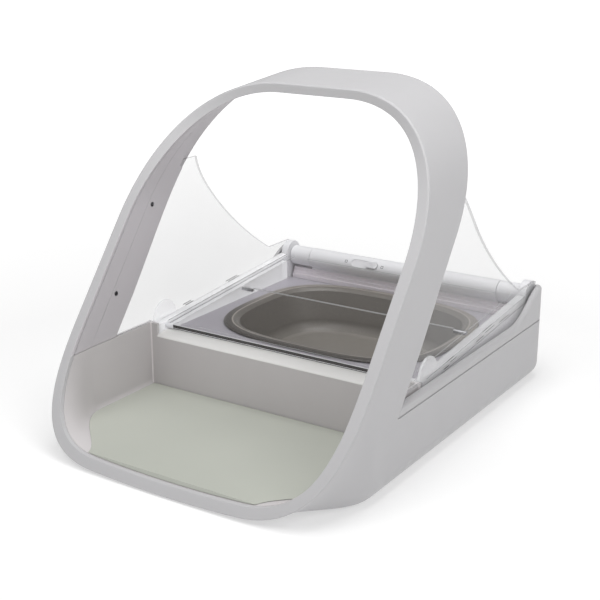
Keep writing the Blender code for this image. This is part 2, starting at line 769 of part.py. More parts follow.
def fit_underside(housing):
    for side, word in ((-1, "left"), (1, "right")):
        for index, (x, y) in enumerate(SCREW_PLACES):
            centre = (side * x, y, 0.0)
            floor = BOTTOM_Z + HOUSING_WALL / 2
            post = turned(
                f"screw_post_{word}_{index}",
                ((SCREW_POST_RADIUS, floor), (SCREW_POST_RADIUS, SCREW_POST_TOP_Z)),
                "Z",
                centre,
                sides=SMALL_SIDES,
            )
            join(housing, post)
            cut(housing, base_screw(f"screw_hole_{word}_{index}", centre, None, CLEARANCE))
        for index, (x, y) in enumerate(FOOT_PLACES):
            reach = FOOT_RADIUS + CLEARANCE
            recess = turned(
                f"foot_recess_{word}_{index}",
                ((reach, -OVERRUN), (reach, BOTTOM_Z + FOOT_RECESS_DEPTH)),
                "Z",
                (side * x, y, 0.0),
            )
            cut(housing, recess)


def base_screw(name, centre, finish, play):
    low = SCREW_SEAT_Z - SCREW_HEAD_HEIGHT
    start = low if finish else BOTTOM_Z - OVERRUN
    end = low + SCREW_LENGTH + play
    profile = (
        (SCREW_HEAD_RADIUS + play, start),
        (SCREW_HEAD_RADIUS + play, SCREW_SEAT_Z + play),
        (SCREW_SHANK_RADIUS + play, SCREW_SEAT_Z + play),
        (SCREW_SHANK_RADIUS + play, end),
    )
    return turned(name, profile, "Z", centre, finish, SMALL_SIDES)


def sensor_pin(name, side, height, finish, play):
    face = HALF_WIDTH - LIP_WIDTH
    start = face - (OVERRUN if finish is None else 0.0)
    end = face + SENSOR_LENGTH + play
    radius = SENSOR_RADIUS + play
    profile = ((radius, side * start), (radius, side * end))
    return turned(name, profile, "X", (0.0, sensor_y(height), height), finish, SMALL_SIDES)


def door_block(name, side, play, low, high, finish=None):
    xs = sorted((side * (DOOR_INNER_X + play), side * (DOOR_OUTER_X - play)))
    return box(
        name,
        (xs[0], DOOR_FRONT_Y + play, low),
        (xs[1], DOOR_REAR_Y - play, high),
        finish,
    )


def front_tray():
    front = LIP_THICKNESS + CLEARANCE
    tray = tray_trough("front_tray", LIP_WIDTH - TRAY_WALL, front, "lining")
    hollow = tray_trough("tray_hollow", LIP_WIDTH, -OVERRUN)
    cut(hollow, behind("behind_step", STEP_Y))
    cut(tray, hollow)
    cut(tray, above("above_tray", TRAY_TOP_Z))
    cut(tray, behind("behind_tray", STEP_Y + TRAY_WALL))
    step_back = STEP_Y + TRAY_WALL
    outline = ledge_outline(step_back)
    over_step = box(
        "over_step",
        (-TRAY_PLATE_HALF, STEP_Y, STEP_TOP_Z),
        (TRAY_PLATE_HALF, LEDGE_REAR_Y, TRAY_TOP_Z + OVERRUN),
    )
    cut(tray, over_step)
    join(tray, side_prism("ledge", outline, -TRAY_PLATE_HALF, TRAY_PLATE_HALF))
    return tray


def ledge_outline(step_back):
    """The step's rounded brow and the ledge behind it, from the side."""
    rise = LEDGE_TOP_Z - STEP_TOP_Z
    run = LEDGE_REAR_Y - STEP_Y
    outline = []
    for step in range(LEDGE_ROUND_STEPS + 1):
        angle = math.pi / 2 * step / LEDGE_ROUND_STEPS
        outline.append((STEP_Y + run * (1 - math.cos(angle)), STEP_TOP_Z + rise * math.sin(angle)))
    thick = TRAY_WALL
    outline.append((LEDGE_REAR_Y, LEDGE_TOP_Z - thick))
    outline.append((step_back, STEP_TOP_Z - thick))
    outline.append((STEP_Y, STEP_TOP_Z - thick))
    return outline


def front_mat():
    inset = LIP_WIDTH + MAT_CLEARANCE
    mat = tray_trough("front_mat", inset, LIP_THICKNESS + CLEARANCE, "mat")
    cut(mat, above("above_mat", MAT_TOP_Z))
    cut(mat, behind("behind_mat", STEP_Y - MAT_CLEARANCE))
    return mat


def arch_lining():
    inset = HOUSING_WALL + ANTENNA_THICKNESS + 2 * CLEARANCE
    front = LIP_THICKNESS + CLEARANCE
    depths = (front, BLEND_DEPTHS[0], LINING_DEPTH)
    lining = loft("arch_lining", [ring_section(inset, depth) for depth in depths], "lining")
    cut(lining, arch_opening("lining_opening", -OVERRUN))
    cut(lining, below("below_lining", TRAY_TOP_Z + CLEARANCE))
    return lining


def antenna_coil():
    outer = HOUSING_WALL + CLEARANCE
    inner = outer + ANTENNA_THICKNESS
    ends = (ANTENNA_START, ANTENNA_START + ANTENNA_WIDTH)
    coil = loft("antenna_coil", [ring_section(outer, depth) for depth in ends], "copper")
    past = (ends[0] - OVERRUN, *ends, ends[1] + OVERRUN)
    cut(coil, loft("antenna_bore", [ring_section(inner, depth) for depth in past]))
    return coil


def rim_height(x, y):
    """The rim's top: level along the sides, sweeping up to an ear at each rear corner, lower between them."""
    sweep = smooth_step((y - RIM_SWEEP_START_Y) / (RIM_EAR_Y - RIM_SWEEP_START_Y))
    side_z = mix(RIM_Z, RIM_EAR_Z, sweep**2)
    inward = (HALF_WIDTH - abs(x)) / RIM_EAR_SPREAD
    return mix(side_z, RIM_REAR_Z, smooth_step(inward))


def rim_path():
    """Plan points with their outward directions, from the right front round the back to the left front."""
    centre_x = HALF_WIDTH - REAR_CORNER_RADIUS
    centre_y = REAR_Y - REAR_CORNER_RADIUS
    start_y = FRONT_Y + BLEND_DEPTH
    along = [(HALF_WIDTH, y, (1.0, 0.0)) for y in side_stations(start_y, centre_y)]
    for step in range(REAR_STEPS + 1):
        angle = math.pi / 2 * step / REAR_STEPS
        out = (math.cos(angle), math.sin(angle))
        x = centre_x + REAR_CORNER_RADIUS * out[0]
        along.append((x, centre_y + REAR_CORNER_RADIUS * out[1], out))
    rear = [(centre_x * share, REAR_Y, (0.0, 1.0)) for share in REAR_RIM_SHARES]
    right = along + rear
    left = [(-x, y, (-out[0], out[1])) for x, y, out in right[::-1]]
    return right + left


def side_stations(start_y, end_y):
    swept = [mix(RIM_SWEEP_START_Y, end_y, share) for share in SIDE_STATION_SHARES]
    return [start_y] + swept


def rim_profile(top):
    """The rim's cross-section as (distance in from the outside, height)."""
    low = SEAM_Z + CLEARANCE
    profile = [(0.0, low)]
    for step in range(RIM_ROUND_STEPS + 1):
        angle = math.pi / 2 * step / RIM_ROUND_STEPS
        profile.append((RIM_ROUND * (1 - math.cos(angle)), top - RIM_ROUND * (1 - math.sin(angle))))
    return profile + [(RIM_WIDTH, top), (RIM_WIDTH, low)]


def deck_frame():
    sections = []
    for x, y, out in rim_path():
        profile = rim_profile(rim_height(x, y))
        sections.append([(x - out[0] * inward, y - out[1] * inward, z) for inward, z in profile])
    frame = loft("deck_frame", sections, "shell")
    join(frame, deck_plate(), rear_shelf())
    arch_sections = [ring_section(-OVERRUN, depth) for depth in (-OVERRUN, ARCH_DEPTH + CLEARANCE)]
    cut(frame, loft("arch_room", arch_sections))
    for side, word in ((-1, "left"), (1, "right")):
        cut(frame, cap_room(side, word))
    return frame


def cap_room(side, word):
    """Nothing of the deck may sit in a tube cap's foot."""
    xs = sorted((side * (CAP_INNER_X - CLEARANCE), side * (RAIL_OUTER_X + CLEARANCE)))
    low = (xs[0], RAIL_REAR_Y, DECK_TOP_Z)
    high = (xs[1], CAP_REAR_Y + CLEARANCE, CAP_TOP_Z + OVERRUN)
    return box(f"cap_room_{word}", low, high)


def deck_plate():
    reach = HALF_WIDTH - HOUSING_WALL - CLEARANCE
    rear = REAR_Y - HOUSING_WALL - CLEARANCE
    radius = REAR_CORNER_RADIUS - HOUSING_WALL - CLEARANCE
    outline = [(reach, DECK_FRONT_Y)]
    for step in range(REAR_STEPS + 1):
        angle = math.pi / 2 * step / REAR_STEPS
        x = reach - radius + radius * math.cos(angle)
        outline.append((x, rear - radius + radius * math.sin(angle)))
    outline += [(-x, y) for x, y in outline[::-1]]
    low = DECK_TOP_Z - DECK_THICKNESS
    plate = loft("deck_plate", [[(x, y, z) for x, y in outline] for z in (low, DECK_TOP_Z)])
    # The plate's edge meets the rim in a low flange, so that the two are one moulding.
    flange_low = SEAM_Z + CLEARANCE
    shelf = RIM_WIDTH - HOUSING_WALL
    for side, word in ((-1, "left"), (1, "right")):
        xs = sorted((side * (reach - 2 * shelf), side * reach))
        centre_y = REAR_Y - REAR_CORNER_RADIUS
        flange_high = (xs[1], centre_y, flange_low + shelf)
        flange = box(f"deck_flange_{word}", (xs[0], DECK_FRONT_Y, low), flange_high)
        join(plate, flange)
    opening = box(
        "deck_opening",
        (-DECK_OPENING_HALF, DECK_OPENING_FRONT_Y, low - OVERRUN),
        (DECK_OPENING_HALF, DECK_OPENING_REAR_Y, DECK_TOP_Z + OVERRUN),
    )
    cut(plate, opening)
    return plate


def rear_shelf():
    """The slope behind the tube that sheds crumbs towards the rim."""
    rear = REAR_Y - RIM_WIDTH + RIM_ROUND / 2
    low = DECK_TOP_Z - DECK_THICKNESS
    inner_rear = REAR_Y - HOUSING_WALL - CLEARANCE
    outline = [
        (REAR_SHELF_FRONT_Y, low),
        (REAR_SHELF_FRONT_Y, REAR_SHELF_LOW_Z),
        (rear, REAR_SHELF_TOP_Z),
        (rear, SEAM_Z + CLEARANCE),
        (inner_rear, SEAM_Z + CLEARANCE),
        (inner_rear, low),
    ]
    half = HALF_WIDTH - REAR_CORNER_RADIUS
    return side_prism("rear_shelf", outline, -half, half)


def bowl_ring(inset, z):
    """A rounded oblong round the bowl's middle, drawn in by inset."""
    half_x = BOWL_HALF_WIDTH - inset
    half_y = BOWL_HALF_LENGTH - inset
    points = []
    for step in range(BOWL_SIDES):
        angle = math.tau * step / BOWL_SIDES
        cosine = math.cos(angle)
        sine = math.sin(angle)
        size = (abs(cosine) ** BOWL_POWER + abs(sine) ** BOWL_POWER) ** (-1 / BOWL_POWER)
        points.append((half_x * cosine * size, BOWL_CENTRE_Y + half_y * sine * size, z))
    return points


def bowl_wall_rings(clearance, low, high):
    """The outside of the bowl's wall from the floor's edge up to under the rim."""
    rings = []
    for step in range(4):
        angle = math.pi / 2 * step / 3
        inset = BOWL_RIM_WIDTH + BOWL_WALL_DRAFT - clearance
        inset += BOWL_FLOOR_RADIUS * (1 - math.sin(angle))
        rings.append(bowl_ring(inset, low + BOWL_FLOOR_RADIUS * (1 - math.cos(angle))))
    rings.append(bowl_ring(BOWL_RIM_WIDTH - clearance, high))
    return rings


def bowl():
    floor = BOWL_RIM_Z - BOWL_DEPTH
    outside = bowl_wall_rings(0.0, floor - BOWL_WALL, BOWL_RIM_Z - BOWL_RIM_LIP)
    rim = [
        bowl_ring(BOWL_RIM_LIP / 4, BOWL_RIM_Z - BOWL_RIM_LIP),
        bowl_ring(0.0, BOWL_RIM_Z - BOWL_RIM_LIP * BOWL_RIM_BEAD_SHARE),
        bowl_ring(BOWL_RIM_LIP / 4, BOWL_RIM_Z - BOWL_RIM_LIP / 4),
        bowl_ring(BOWL_RIM_LIP, BOWL_RIM_Z),
        bowl_ring(BOWL_RIM_WIDTH - BOWL_RIM_LIP, BOWL_RIM_Z),
        bowl_ring(BOWL_RIM_WIDTH, BOWL_RIM_Z - BOWL_RIM_LIP / 4),
    ]
    inside = bowl_wall_rings(-BOWL_WALL, floor, BOWL_RIM_Z - BOWL_RIM_LIP)[::-1]
    return loft("bowl", outside + rim + inside, "bowl")


def bowl_tray():
    low = DECK_TOP_Z + CLEARANCE
    front = LEDGE_REAR_Y + CLEARANCE
    half = TRAY_PLATE_HALF
    tray = box("bowl_tray", (-half, front, low), (half, TRAY_PLATE_REAR_Y, TRAY_PLATE_TOP_Z), "lavender")
    floor = BOWL_RIM_Z - BOWL_DEPTH - BOWL_WALL
    outer_low = floor - CLEARANCE - WELL_WALL
    well = bowl_wall_rings(WELL_CLEARANCE + WELL_WALL, outer_low, low)
    well.append(bowl_ring(BOWL_RIM_WIDTH - WELL_CLEARANCE - WELL_WALL, TRAY_PLATE_TOP_Z))
    join(tray, loft("well_skin", well))
    hollow = bowl_wall_rings(WELL_CLEARANCE, floor - CLEARANCE, low)
    hollow.append(bowl_ring(BOWL_RIM_WIDTH - WELL_CLEARANCE, TRAY_PLATE_TOP_Z + OVERRUN))
    cut(tray, loft("well_hollow", hollow))
    return tray


def lid_point(along, above_line):
    """A (Y, Z) point: distance from the rear axis down the closed lid, and height over its line."""
    y = LID_AXIS_Y - along * math.cos(LID_SLOPE) - above_line * math.sin(LID_SLOPE)
    z = LID_AXIS_Z - along * math.sin(LID_SLOPE) + above_line * math.cos(LID_SLOPE)
    return y, z


def lid_slab(name, start, end, low, high, half_width, finish=None):
    corners = ((start, low), (end, low), (end, high), (start, high))
    outline = [lid_point(along, height) for along, height in corners]
    return side_prism(name, outline, -half_width, half_width, finish)


def lid_knuckle(name, along, x_low, x_high, finish=None, radius=KNUCKLE_RADIUS):
    y, z = lid_point(along, 0.0)
    return turned(name, ((radius, x_low), (radius, x_high)), "X", (0.0, y, z), finish, SMALL_SIDES)


def ordered(side, first, second):
    return sorted((side * first, side * second))


def lid_rear_panel():
    start = TUBE_RADIUS + SLIDER_STANDOUT + SLIDER_RIB_HEIGHT + 2 * CLEARANCE
    end = PANEL_LENGTH - FOLD_GAP
    panel = lid_slab("lid_rear_panel", start, end, 0.0, PANEL_THICKNESS, LID_HALF_WIDTH, "clear")
    for side, word in ((-1, "left"), (1, "right")):
        join(panel, barrel_arm(side, word, start))
    notch_depth = KNUCKLE_RADIUS + CLEARANCE
    inner = LID_HALF_WIDTH - KNUCKLE_INSET
    for side, word in ((-1, "left"), (1, "right")):
        low, high = ordered(side, inner, inner + KNUCKLE_WIDTH)
        join(panel, lid_knuckle(f"rear_knuckle_{word}", PANEL_LENGTH, low, high))
        gap_low, gap_high = ordered(side, inner + KNUCKLE_WIDTH - CLEARANCE, LID_HALF_WIDTH + OVERRUN)
        outline = [
            lid_point(PANEL_LENGTH - notch_depth, -notch_depth),
            lid_point(PANEL_LENGTH + OVERRUN, -notch_depth),
            lid_point(PANEL_LENGTH + OVERRUN, notch_depth),
            lid_point(PANEL_LENGTH - notch_depth, notch_depth),
        ]
        cut(panel, side_prism(f"rear_notch_{word}", outline, gap_low, gap_high))
        cut(panel, pin_bore(f"rear_pin_bore_{word}", side))
    return panel


def barrel_arm(side, word, panel_start):
    """The tongue that runs from the rear panel to the turning end of the tube."""
    near = BARREL_RADIUS + CLEARANCE
    far = panel_start + OVERRUN
    corners = ((near, 0.0), (far, 0.0), (far, PANEL_THICKNESS), (near, PANEL_THICKNESS))
    outline = [lid_point(along, height) for along, height in corners]
    xs = ordered(side, TUBE_HALF_LENGTH + 2 * CLEARANCE, LID_HALF_WIDTH)
    return side_prism(f"barrel_arm_{word}", outline, *xs)


def pin_bore(name, side):
    inner = LID_HALF_WIDTH - KNUCKLE_INSET
    span = ordered(side, inner - OVERRUN, LID_HALF_WIDTH + OVERRUN)
    return lid_knuckle(name, PANEL_LENGTH, *span, radius=HINGE_PIN_RADIUS + CLEARANCE)


def lid_front_panel():
    start = PANEL_LENGTH + FOLD_GAP
    end = LID_REACH + LID_LIP_OVERHANG
    panel = lid_slab("lid_front_panel", start, end, 0.0, PANEL_THICKNESS, LID_HALF_WIDTH, "clear")
    lip_start = LID_REACH - LID_LIP_OVERHANG
    join(panel, lid_slab("lid_lip", lip_start, end, -LID_LIP_BELOW, LID_LIP_ABOVE, LID_HALF_WIDTH))
    notch_depth = KNUCKLE_RADIUS + CLEARANCE
    inner = LID_HALF_WIDTH - KNUCKLE_INSET
    for side, word in ((-1, "left"), (1, "right")):
        low, high = ordered(side, inner + KNUCKLE_WIDTH + CLEARANCE, LID_HALF_WIDTH)
        join(panel, lid_knuckle(f"front_knuckle_{word}", PANEL_LENGTH, low, high))
        gap_low, gap_high = ordered(side, inner - CLEARANCE, inner + KNUCKLE_WIDTH + CLEARANCE)
        outline = [
            lid_point(PANEL_LENGTH - OVERRUN, -notch_depth),
            lid_point(PANEL_LENGTH + notch_depth, -notch_depth),
            lid_point(PANEL_LENGTH + notch_depth, notch_depth),
            lid_point(PANEL_LENGTH - OVERRUN, notch_depth),
        ]
        cut(panel, side_prism(f"front_notch_{word}", outline, gap_low, gap_high))
        cut(panel, pin_bore(f"front_pin_bore_{word}", side))
        boss_low, boss_high = ordered(side, LID_HALF_WIDTH - PEG_SOCKET_DEPTH, LID_HALF_WIDTH)
        join(panel, lid_knuckle(f"peg_boss_{word}", LID_REACH, boss_low, boss_high, radius=PEG_RADIUS))
        span = ordered(side, LID_HALF_WIDTH - PEG_SOCKET_DEPTH / 2, LID_HALF_WIDTH + OVERRUN)
        stem = PEG_RADIUS / 2 + CLEARANCE
        cut(panel, lid_knuckle(f"peg_socket_{word}", LID_REACH, *span, radius=stem))
    return panel


def lid_fittings():
    inner = LID_HALF_WIDTH - KNUCKLE_INSET
    for side, word in ((-1, "left"), (1, "right")):
        low, high = ordered(side, inner, LID_HALF_WIDTH)
        lid_knuckle(f"hinge_pin_{word}", PANEL_LENGTH, low, high, "steel", HINGE_PIN_RADIUS)
        y, z = lid_point(LID_REACH, 0.0)
        stem = LID_HALF_WIDTH - PEG_SOCKET_DEPTH / 2 + CLEARANCE
        head = LID_HALF_WIDTH + CLEARANCE
        end = LID_HALF_WIDTH + PEG_REACH
        profile = (
            (PEG_RADIUS / 2, side * stem),
            (PEG_RADIUS / 2, side * head),
            (PEG_RADIUS, side * head),
            (PEG_RADIUS, side * end),
        )
        turned(f"guide_peg_{word}", profile, "X", (0.0, y, z), "white", SMALL_SIDES)


def tube_housing():
    centre = (0.0, LID_AXIS_Y, LID_AXIS_Z)
    profile = ((TUBE_RADIUS, -TUBE_HALF_LENGTH), (TUBE_RADIUS, TUBE_HALF_LENGTH))
    tube = turned("tube_housing", profile, "X", centre, "white")
    web = box(
        "tube_web",
        (-TUBE_HALF_LENGTH, LID_AXIS_Y - TUBE_WEB_HALF, PLINTH_TOP_Z - CLEARANCE),
        (TUBE_HALF_LENGTH, LID_AXIS_Y + TUBE_WEB_HALF, LID_AXIS_Z - TUBE_BORE_RADIUS),
    )
    low = DECK_TOP_Z + CLEARANCE
    front = PLINTH_FRONT_Y
    outline = [(front, low)]
    for step in range(3):
        z = PLINTH_TOP_Z - PLINTH_STEP_HEIGHT * (2 - step)
        outline.append((front + PLINTH_STEP * step, z))
        outline.append((front + PLINTH_STEP * (step + 1), z))
    outline = outline[:-1]
    outline += [(PLINTH_REAR_Y, PLINTH_TOP_Z), (PLINTH_REAR_Y, low)]
    join(tube, web, side_prism("tube_plinth", outline, -PLINTH_HALF_WIDTH, PLINTH_HALF_WIDTH))
    reach = TUBE_HALF_LENGTH + OVERRUN
    bore_profile = ((TUBE_BORE_RADIUS, -reach), (TUBE_BORE_RADIUS, reach))
    cut(tube, turned("tube_bore", bore_profile, "X", centre))
    size = (SWITCH_RECESS_LENGTH, SWITCH_RECESS_WIDTH)
    heights = (TUBE_RADIUS - SWITCH_RECESS_DEPTH, TUBE_RADIUS + OVERRUN)
    cut(tube, switch_block("switch_recess", *size, SWITCH_X, *heights))
    return tube


def switch_block(name, length, width, x, low, high, finish=None):
    """A round-ended block that stands out of the tube's upper front."""
    bm = bmesh.new()
    half = (length - width) / 2
    rings = []
    for z in (low, high):
        ring = []
        for end in (1, -1):
            for step in range(SMALL_SIDES // 2 + 1):
                angle = math.pi * step / (SMALL_SIDES // 2) - math.pi / 2
                if end < 0:
                    angle += math.pi
                along = end * half + width / 2 * math.cos(angle)
                ring.append(bm.verts.new((along, width / 2 * math.sin(angle), z)))
        rings.append(ring)
    join_rings(bm, rings)
    obj = object_from(mesh_from(bm, name), name, finish)
    obj.rotation_euler = (math.pi / 2 - SWITCH_ANGLE, 0.0, 0.0)
    obj.location = (x, LID_AXIS_Y, LID_AXIS_Z)
    return obj


def delay_slider():
    width = SWITCH_RECESS_WIDTH - 2 * CLEARANCE
    rest_x = SWITCH_X + (SWITCH_RECESS_LENGTH - SLIDER_LENGTH) / 2 - CLEARANCE
    low = TUBE_RADIUS - SWITCH_RECESS_DEPTH + CLEARANCE
    high = TUBE_RADIUS + SLIDER_STANDOUT
    slider = switch_block("delay_slider", SLIDER_LENGTH, width, rest_x, low, high, "white")
    pitch = (SLIDER_LENGTH - width) / (SLIDER_RIBS - 1)
    for index in range(SLIDER_RIBS):
        x = rest_x + pitch * (index - (SLIDER_RIBS - 1) / 2)
        rib = box(f"slider_rib_{index}", (0.0, 0.0, 0.0), (pitch / 2, width, SLIDER_RIB_HEIGHT * 2))
        rib.rotation_euler = (math.pi / 2 - SWITCH_ANGLE, 0.0, 0.0)
        out = Vector((0.0, -math.cos(SWITCH_ANGLE), math.sin(SWITCH_ANGLE)))
        rib.location = Vector((x, LID_AXIS_Y, LID_AXIS_Z)) + out * high
        join(slider, rib)
    return slider


def lid_drive():
    centre = (0.0, LID_AXIS_Y, LID_AXIS_Z)
    for side, word in ((-1, "left"), (1, "right")):
        start = TUBE_HALF_LENGTH + CLEARANCE
        profile = ((BARREL_RADIUS, side * start), (BARREL_RADIUS, side * BARREL_END_X))
        barrel = turned(f"lid_barrel_{word}", profile, "X", centre, "white")
        bore = SHAFT_RADIUS + CLEARANCE
        span = ((bore, side * (start - OVERRUN)), (bore, side * (BARREL_END_X + OVERRUN)))
        cut(barrel, turned(f"barrel_bore_{word}", span, "X", centre, sides=SMALL_SIDES))
    nose = MOTOR_END_X + MOTOR_NOSE
    motor = (
        (MOTOR_RADIUS, MOTOR_START_X),
        (MOTOR_RADIUS, MOTOR_END_X),
        (SHAFT_RADIUS, MOTOR_END_X),
        (SHAFT_RADIUS, nose),
    )
    turned("gear_motor", motor, "X", centre, "steel")
    start = nose + CLEARANCE
    shaft = (
        (SHAFT_COUPLING_RADIUS, start),
        (SHAFT_COUPLING_RADIUS, start + SHAFT_COUPLING_LENGTH),
        (SHAFT_RADIUS, start + SHAFT_COUPLING_LENGTH),
        (SHAFT_RADIUS, SHAFT_END_X),
    )
    turned("drive_shaft", shaft, "X", centre, "steel", SMALL_SIDES)
    idle = (
        (TUBE_BORE_RADIUS - CLEARANCE, -IDLE_START_X),
        (TUBE_BORE_RADIUS - CLEARANCE, -IDLE_START_X - SHAFT_COUPLING_LENGTH),
        (SHAFT_RADIUS, -IDLE_START_X - SHAFT_COUPLING_LENGTH),
        (SHAFT_RADIUS, -SHAFT_END_X),
    )
    turned("idle_pin", idle, "X", centre, "steel", SMALL_SIDES)


def lid_line(y):
    """Height of the straight line that the lid's pegs run along."""
    return LID_AXIS_Z - (LID_AXIS_Y - y) * math.tan(LID_SLOPE)


def side_rail(side, word):
    low = DECK_TOP_Z + CLEARANCE
    slot = PEG_RADIUS + RAIL_SLOT_PLAY
    xs = ordered(side, RAIL_INNER_X, RAIL_OUTER_X)
    top = slot + RAIL_FLANGE
    outline = [
        (RAIL_FRONT_Y, low),
        (RAIL_REAR_Y, low),
        (RAIL_REAR_Y, lid_line(RAIL_REAR_Y) + top),
        (RAIL_FRONT_Y, lid_line(RAIL_FRONT_Y) + top),
    ]
    rail = side_prism(f"side_rail_{word}", outline, *xs, "clear")
    wall = ordered(side, RAIL_OUTER_X - RAIL_WALL, RAIL_OUTER_X)
    join(rail, rail_tab(word, wall, low))
    front = LID_FRONT_Y - 2 * PEG_RADIUS
    rear = RAIL_REAR_Y + OVERRUN
    slot_outline = [
        (front, lid_line(front) - slot),
        (rear, lid_line(rear) - slot),
        (rear, lid_line(rear) + slot),
        (front, lid_line(front) + slot),
    ]
    slot_xs = ordered(side, RAIL_INNER_X - OVERRUN, RAIL_OUTER_X - RAIL_WALL)
    cut(rail, side_prism(f"rail_slot_{word}", slot_outline, *slot_xs))
    return rail


def rail_tab(word, wall, low):
    """The rounded tab at the rail's front that stands over the peg."""
    outline = [(RAIL_TAB_Y + RAIL_TAB_RADIUS, low + CLEARANCE)]
    for step in range(SMALL_SIDES // 2 + 1):
        angle = math.pi * step / (SMALL_SIDES // 2)
        y = RAIL_TAB_Y + RAIL_TAB_RADIUS * math.cos(angle)
        outline.append((y, RAIL_TAB_Z + RAIL_TAB_RADIUS * math.sin(angle)))
    outline.append((RAIL_TAB_Y - RAIL_TAB_RADIUS, low + CLEARANCE))
    return side_prism(f"rail_tab_{word}", outline, *wall)


def tube_cap(side, word):
    """The block at each end of the tube that carries the turning shaft."""
    low = DECK_TOP_Z + CLEARANCE
    front = RAIL_REAR_Y + CLEARANCE
    xs = ordered(side, CAP_INNER_X, RAIL_OUTER_X)
    radius = (CAP_REAR_Y - front) / 2
    middle = (CAP_REAR_Y + front) / 2
    outline = [(front, low), (CAP_REAR_Y, low)]
    for step in range(SMALL_SIDES // 2 + 1):
        angle = math.pi * step / (SMALL_SIDES // 2)
        y = middle + radius * math.cos(angle)
        outline.append((y, CAP_TOP_Z - radius + radius * math.sin(angle)))
    cap = side_prism(f"tube_cap_{word}", outline, *xs, "white")
    bore = SHAFT_RADIUS + CLEARANCE
    span = ((bore, side * (CAP_INNER_X - OVERRUN)), (bore, side * (SHAFT_END_X + CLEARANCE)))
    cut(cap, turned(f"cap_bore_{word}", span, "X", (0.0, LID_AXIS_Y, LID_AXIS_Z), sides=SMALL_SIDES))
    return cap


def side_panel(side, word):
    """The clear wing that guards each side of the lid, curved in to follow the arch."""
    rear_depth = BODY_DEPTH + OVERRUN
    name = f"side_panel_{word}"
    outer = SIDE_PANEL_OUTER
    depths = (SIDE_PANEL_FRONT_DEPTH, rear_depth)
    strip = side_strip(f"panel_strip_{word}", side, outer, SIDE_PANEL_INNER, *depths)
    xs = ordered(side, 0.0, HALF_WIDTH + OVERRUN)
    panel = side_prism(name, side_panel_outline(), *xs, "clear")
    keep_within(panel, strip)
    return panel


def side_panel_outline():
    top = (SIDE_PANEL_TOP_Y, SIDE_PANEL_TOP_Z)
    low = (SIDE_PANEL_LOW_Y, SIDE_PANEL_LOW_Z)
    run = low[0] - top[0]
    drop = top[1] - low[1]
    first, second, third, fourth = SIDE_PANEL_CURVE_SHARES
    leaving = (top[0] + run * first, top[1] - drop * second)
    arriving = (low[0] - run * fourth, low[1] + drop * fourth * third)
    curve = [top] + bezier((top, leaving, arriving, low), PANEL_CURVE_STEPS)
    rest = TRAY_TOP_Z + CLEARANCE
    step_back = STEP_Y + TRAY_WALL + CLEARANCE
    deck = SEAM_Z + CLEARANCE + RIM_WIDTH - HOUSING_WALL + CLEARANCE
    front = [
        (SIDE_PANEL_TOP_Y - BODY_DEPTH / 2, SIDE_PANEL_TOP_Z),
        (SIDE_PANEL_TOP_Y - BODY_DEPTH / 2, rest),
        (step_back, rest),
        (step_back, deck),
    ]
    rear = [(SIDE_PANEL_REAR_Y, SIDE_PANEL_LOW_Z), (SIDE_PANEL_REAR_Y, deck)]
    return front + rear[::-1] + curve[::-1]


def batteries():
    for side, word in ((-1, "left"), (1, "right")):
        battery_box(side, word)
        door_top = BOTTOM_Z + DOOR_THICKNESS
        door = door_block(f"battery_door_{word}", side, CLEARANCE, BOTTOM_Z, door_top, "shell")
        middle = side * (DOOR_INNER_X + DOOR_OUTER_X) / 2
        half = DOOR_GRIP_LENGTH / 2
        grip_y = DOOR_REAR_Y - DOOR_GRIP_WIDTH
        grip = box(
            f"door_grip_{word}",
            (middle - half, grip_y - DOOR_GRIP_WIDTH / 2, BOTTOM_Z - OVERRUN),
            (middle + half, grip_y + DOOR_GRIP_WIDTH / 2, BOTTOM_Z + DOOR_GRIP_DEPTH),
        )
        cut(door, grip)
        inner_end = BOX_INNER_X + BOX_WALL
        plate_x = inner_end + CLEARANCE
        plate = ordered(side, plate_x, plate_x + PLATE_THICKNESS)
        box(
            f"contact_plate_{word}",
            (plate[0], CELL_Y - PLATE_HALF, CELL_Z - PLATE_HALF),
            (plate[1], CELL_Y + PLATE_HALF, CELL_Z + PLATE_HALF),
            "steel",
        )
        start = plate_x + PLATE_THICKNESS + CLEARANCE
        for index, place in enumerate(("inner", "outer")):
            first = start + index * (CELL_LENGTH + CLEARANCE)
            battery_cell(f"battery_{place}_{word}", side, first)
        spring_start = start + 2 * CELL_LENGTH + 2 * CLEARANCE
        contact_spring(f"contact_spring_{word}", side, spring_start, BOX_OUTER_X - BOX_WALL - CLEARANCE)


def battery_cell(name, side, start):
    """One cell, its pole towards the middle of the feeder."""
    shoulder = start + CELL_CAP_HEIGHT
    profile = (
        (CELL_CAP_RADIUS, side * start),
        (CELL_CAP_RADIUS, side * shoulder),
        (CELL_RADIUS, side * shoulder),
        (CELL_RADIUS, side * (start + CELL_LENGTH)),
    )
    return turned(name, profile, "X", (0.0, CELL_Y, CELL_Z), "cell")


def battery_box(side, word):
    xs = ordered(side, BOX_INNER_X, BOX_OUTER_X)
    low_corner = (xs[0], BOX_FRONT_Y, BOX_LOW_Z)
    case = box(f"battery_box_{word}", low_corner, (xs[1], BOX_REAR_Y, BOX_TOP_Z), "dark")
    ends = (side * (BOX_INNER_X + BOX_WALL), side * (BOX_OUTER_X - BOX_WALL))
    reach = CELL_RADIUS + CELL_BORE_PLAY
    bore = turned(f"box_bore_{word}", ((reach, ends[0]), (reach, ends[1])), "X", (0.0, CELL_Y, CELL_Z))
    low, high = sorted(ends)
    mouth_low = (low, CELL_Y - reach, BOX_LOW_Z - OVERRUN)
    mouth = box(f"box_mouth_{word}", mouth_low, (high, CELL_Y + reach, CELL_Z))
    cut(case, bore, mouth)
    return case


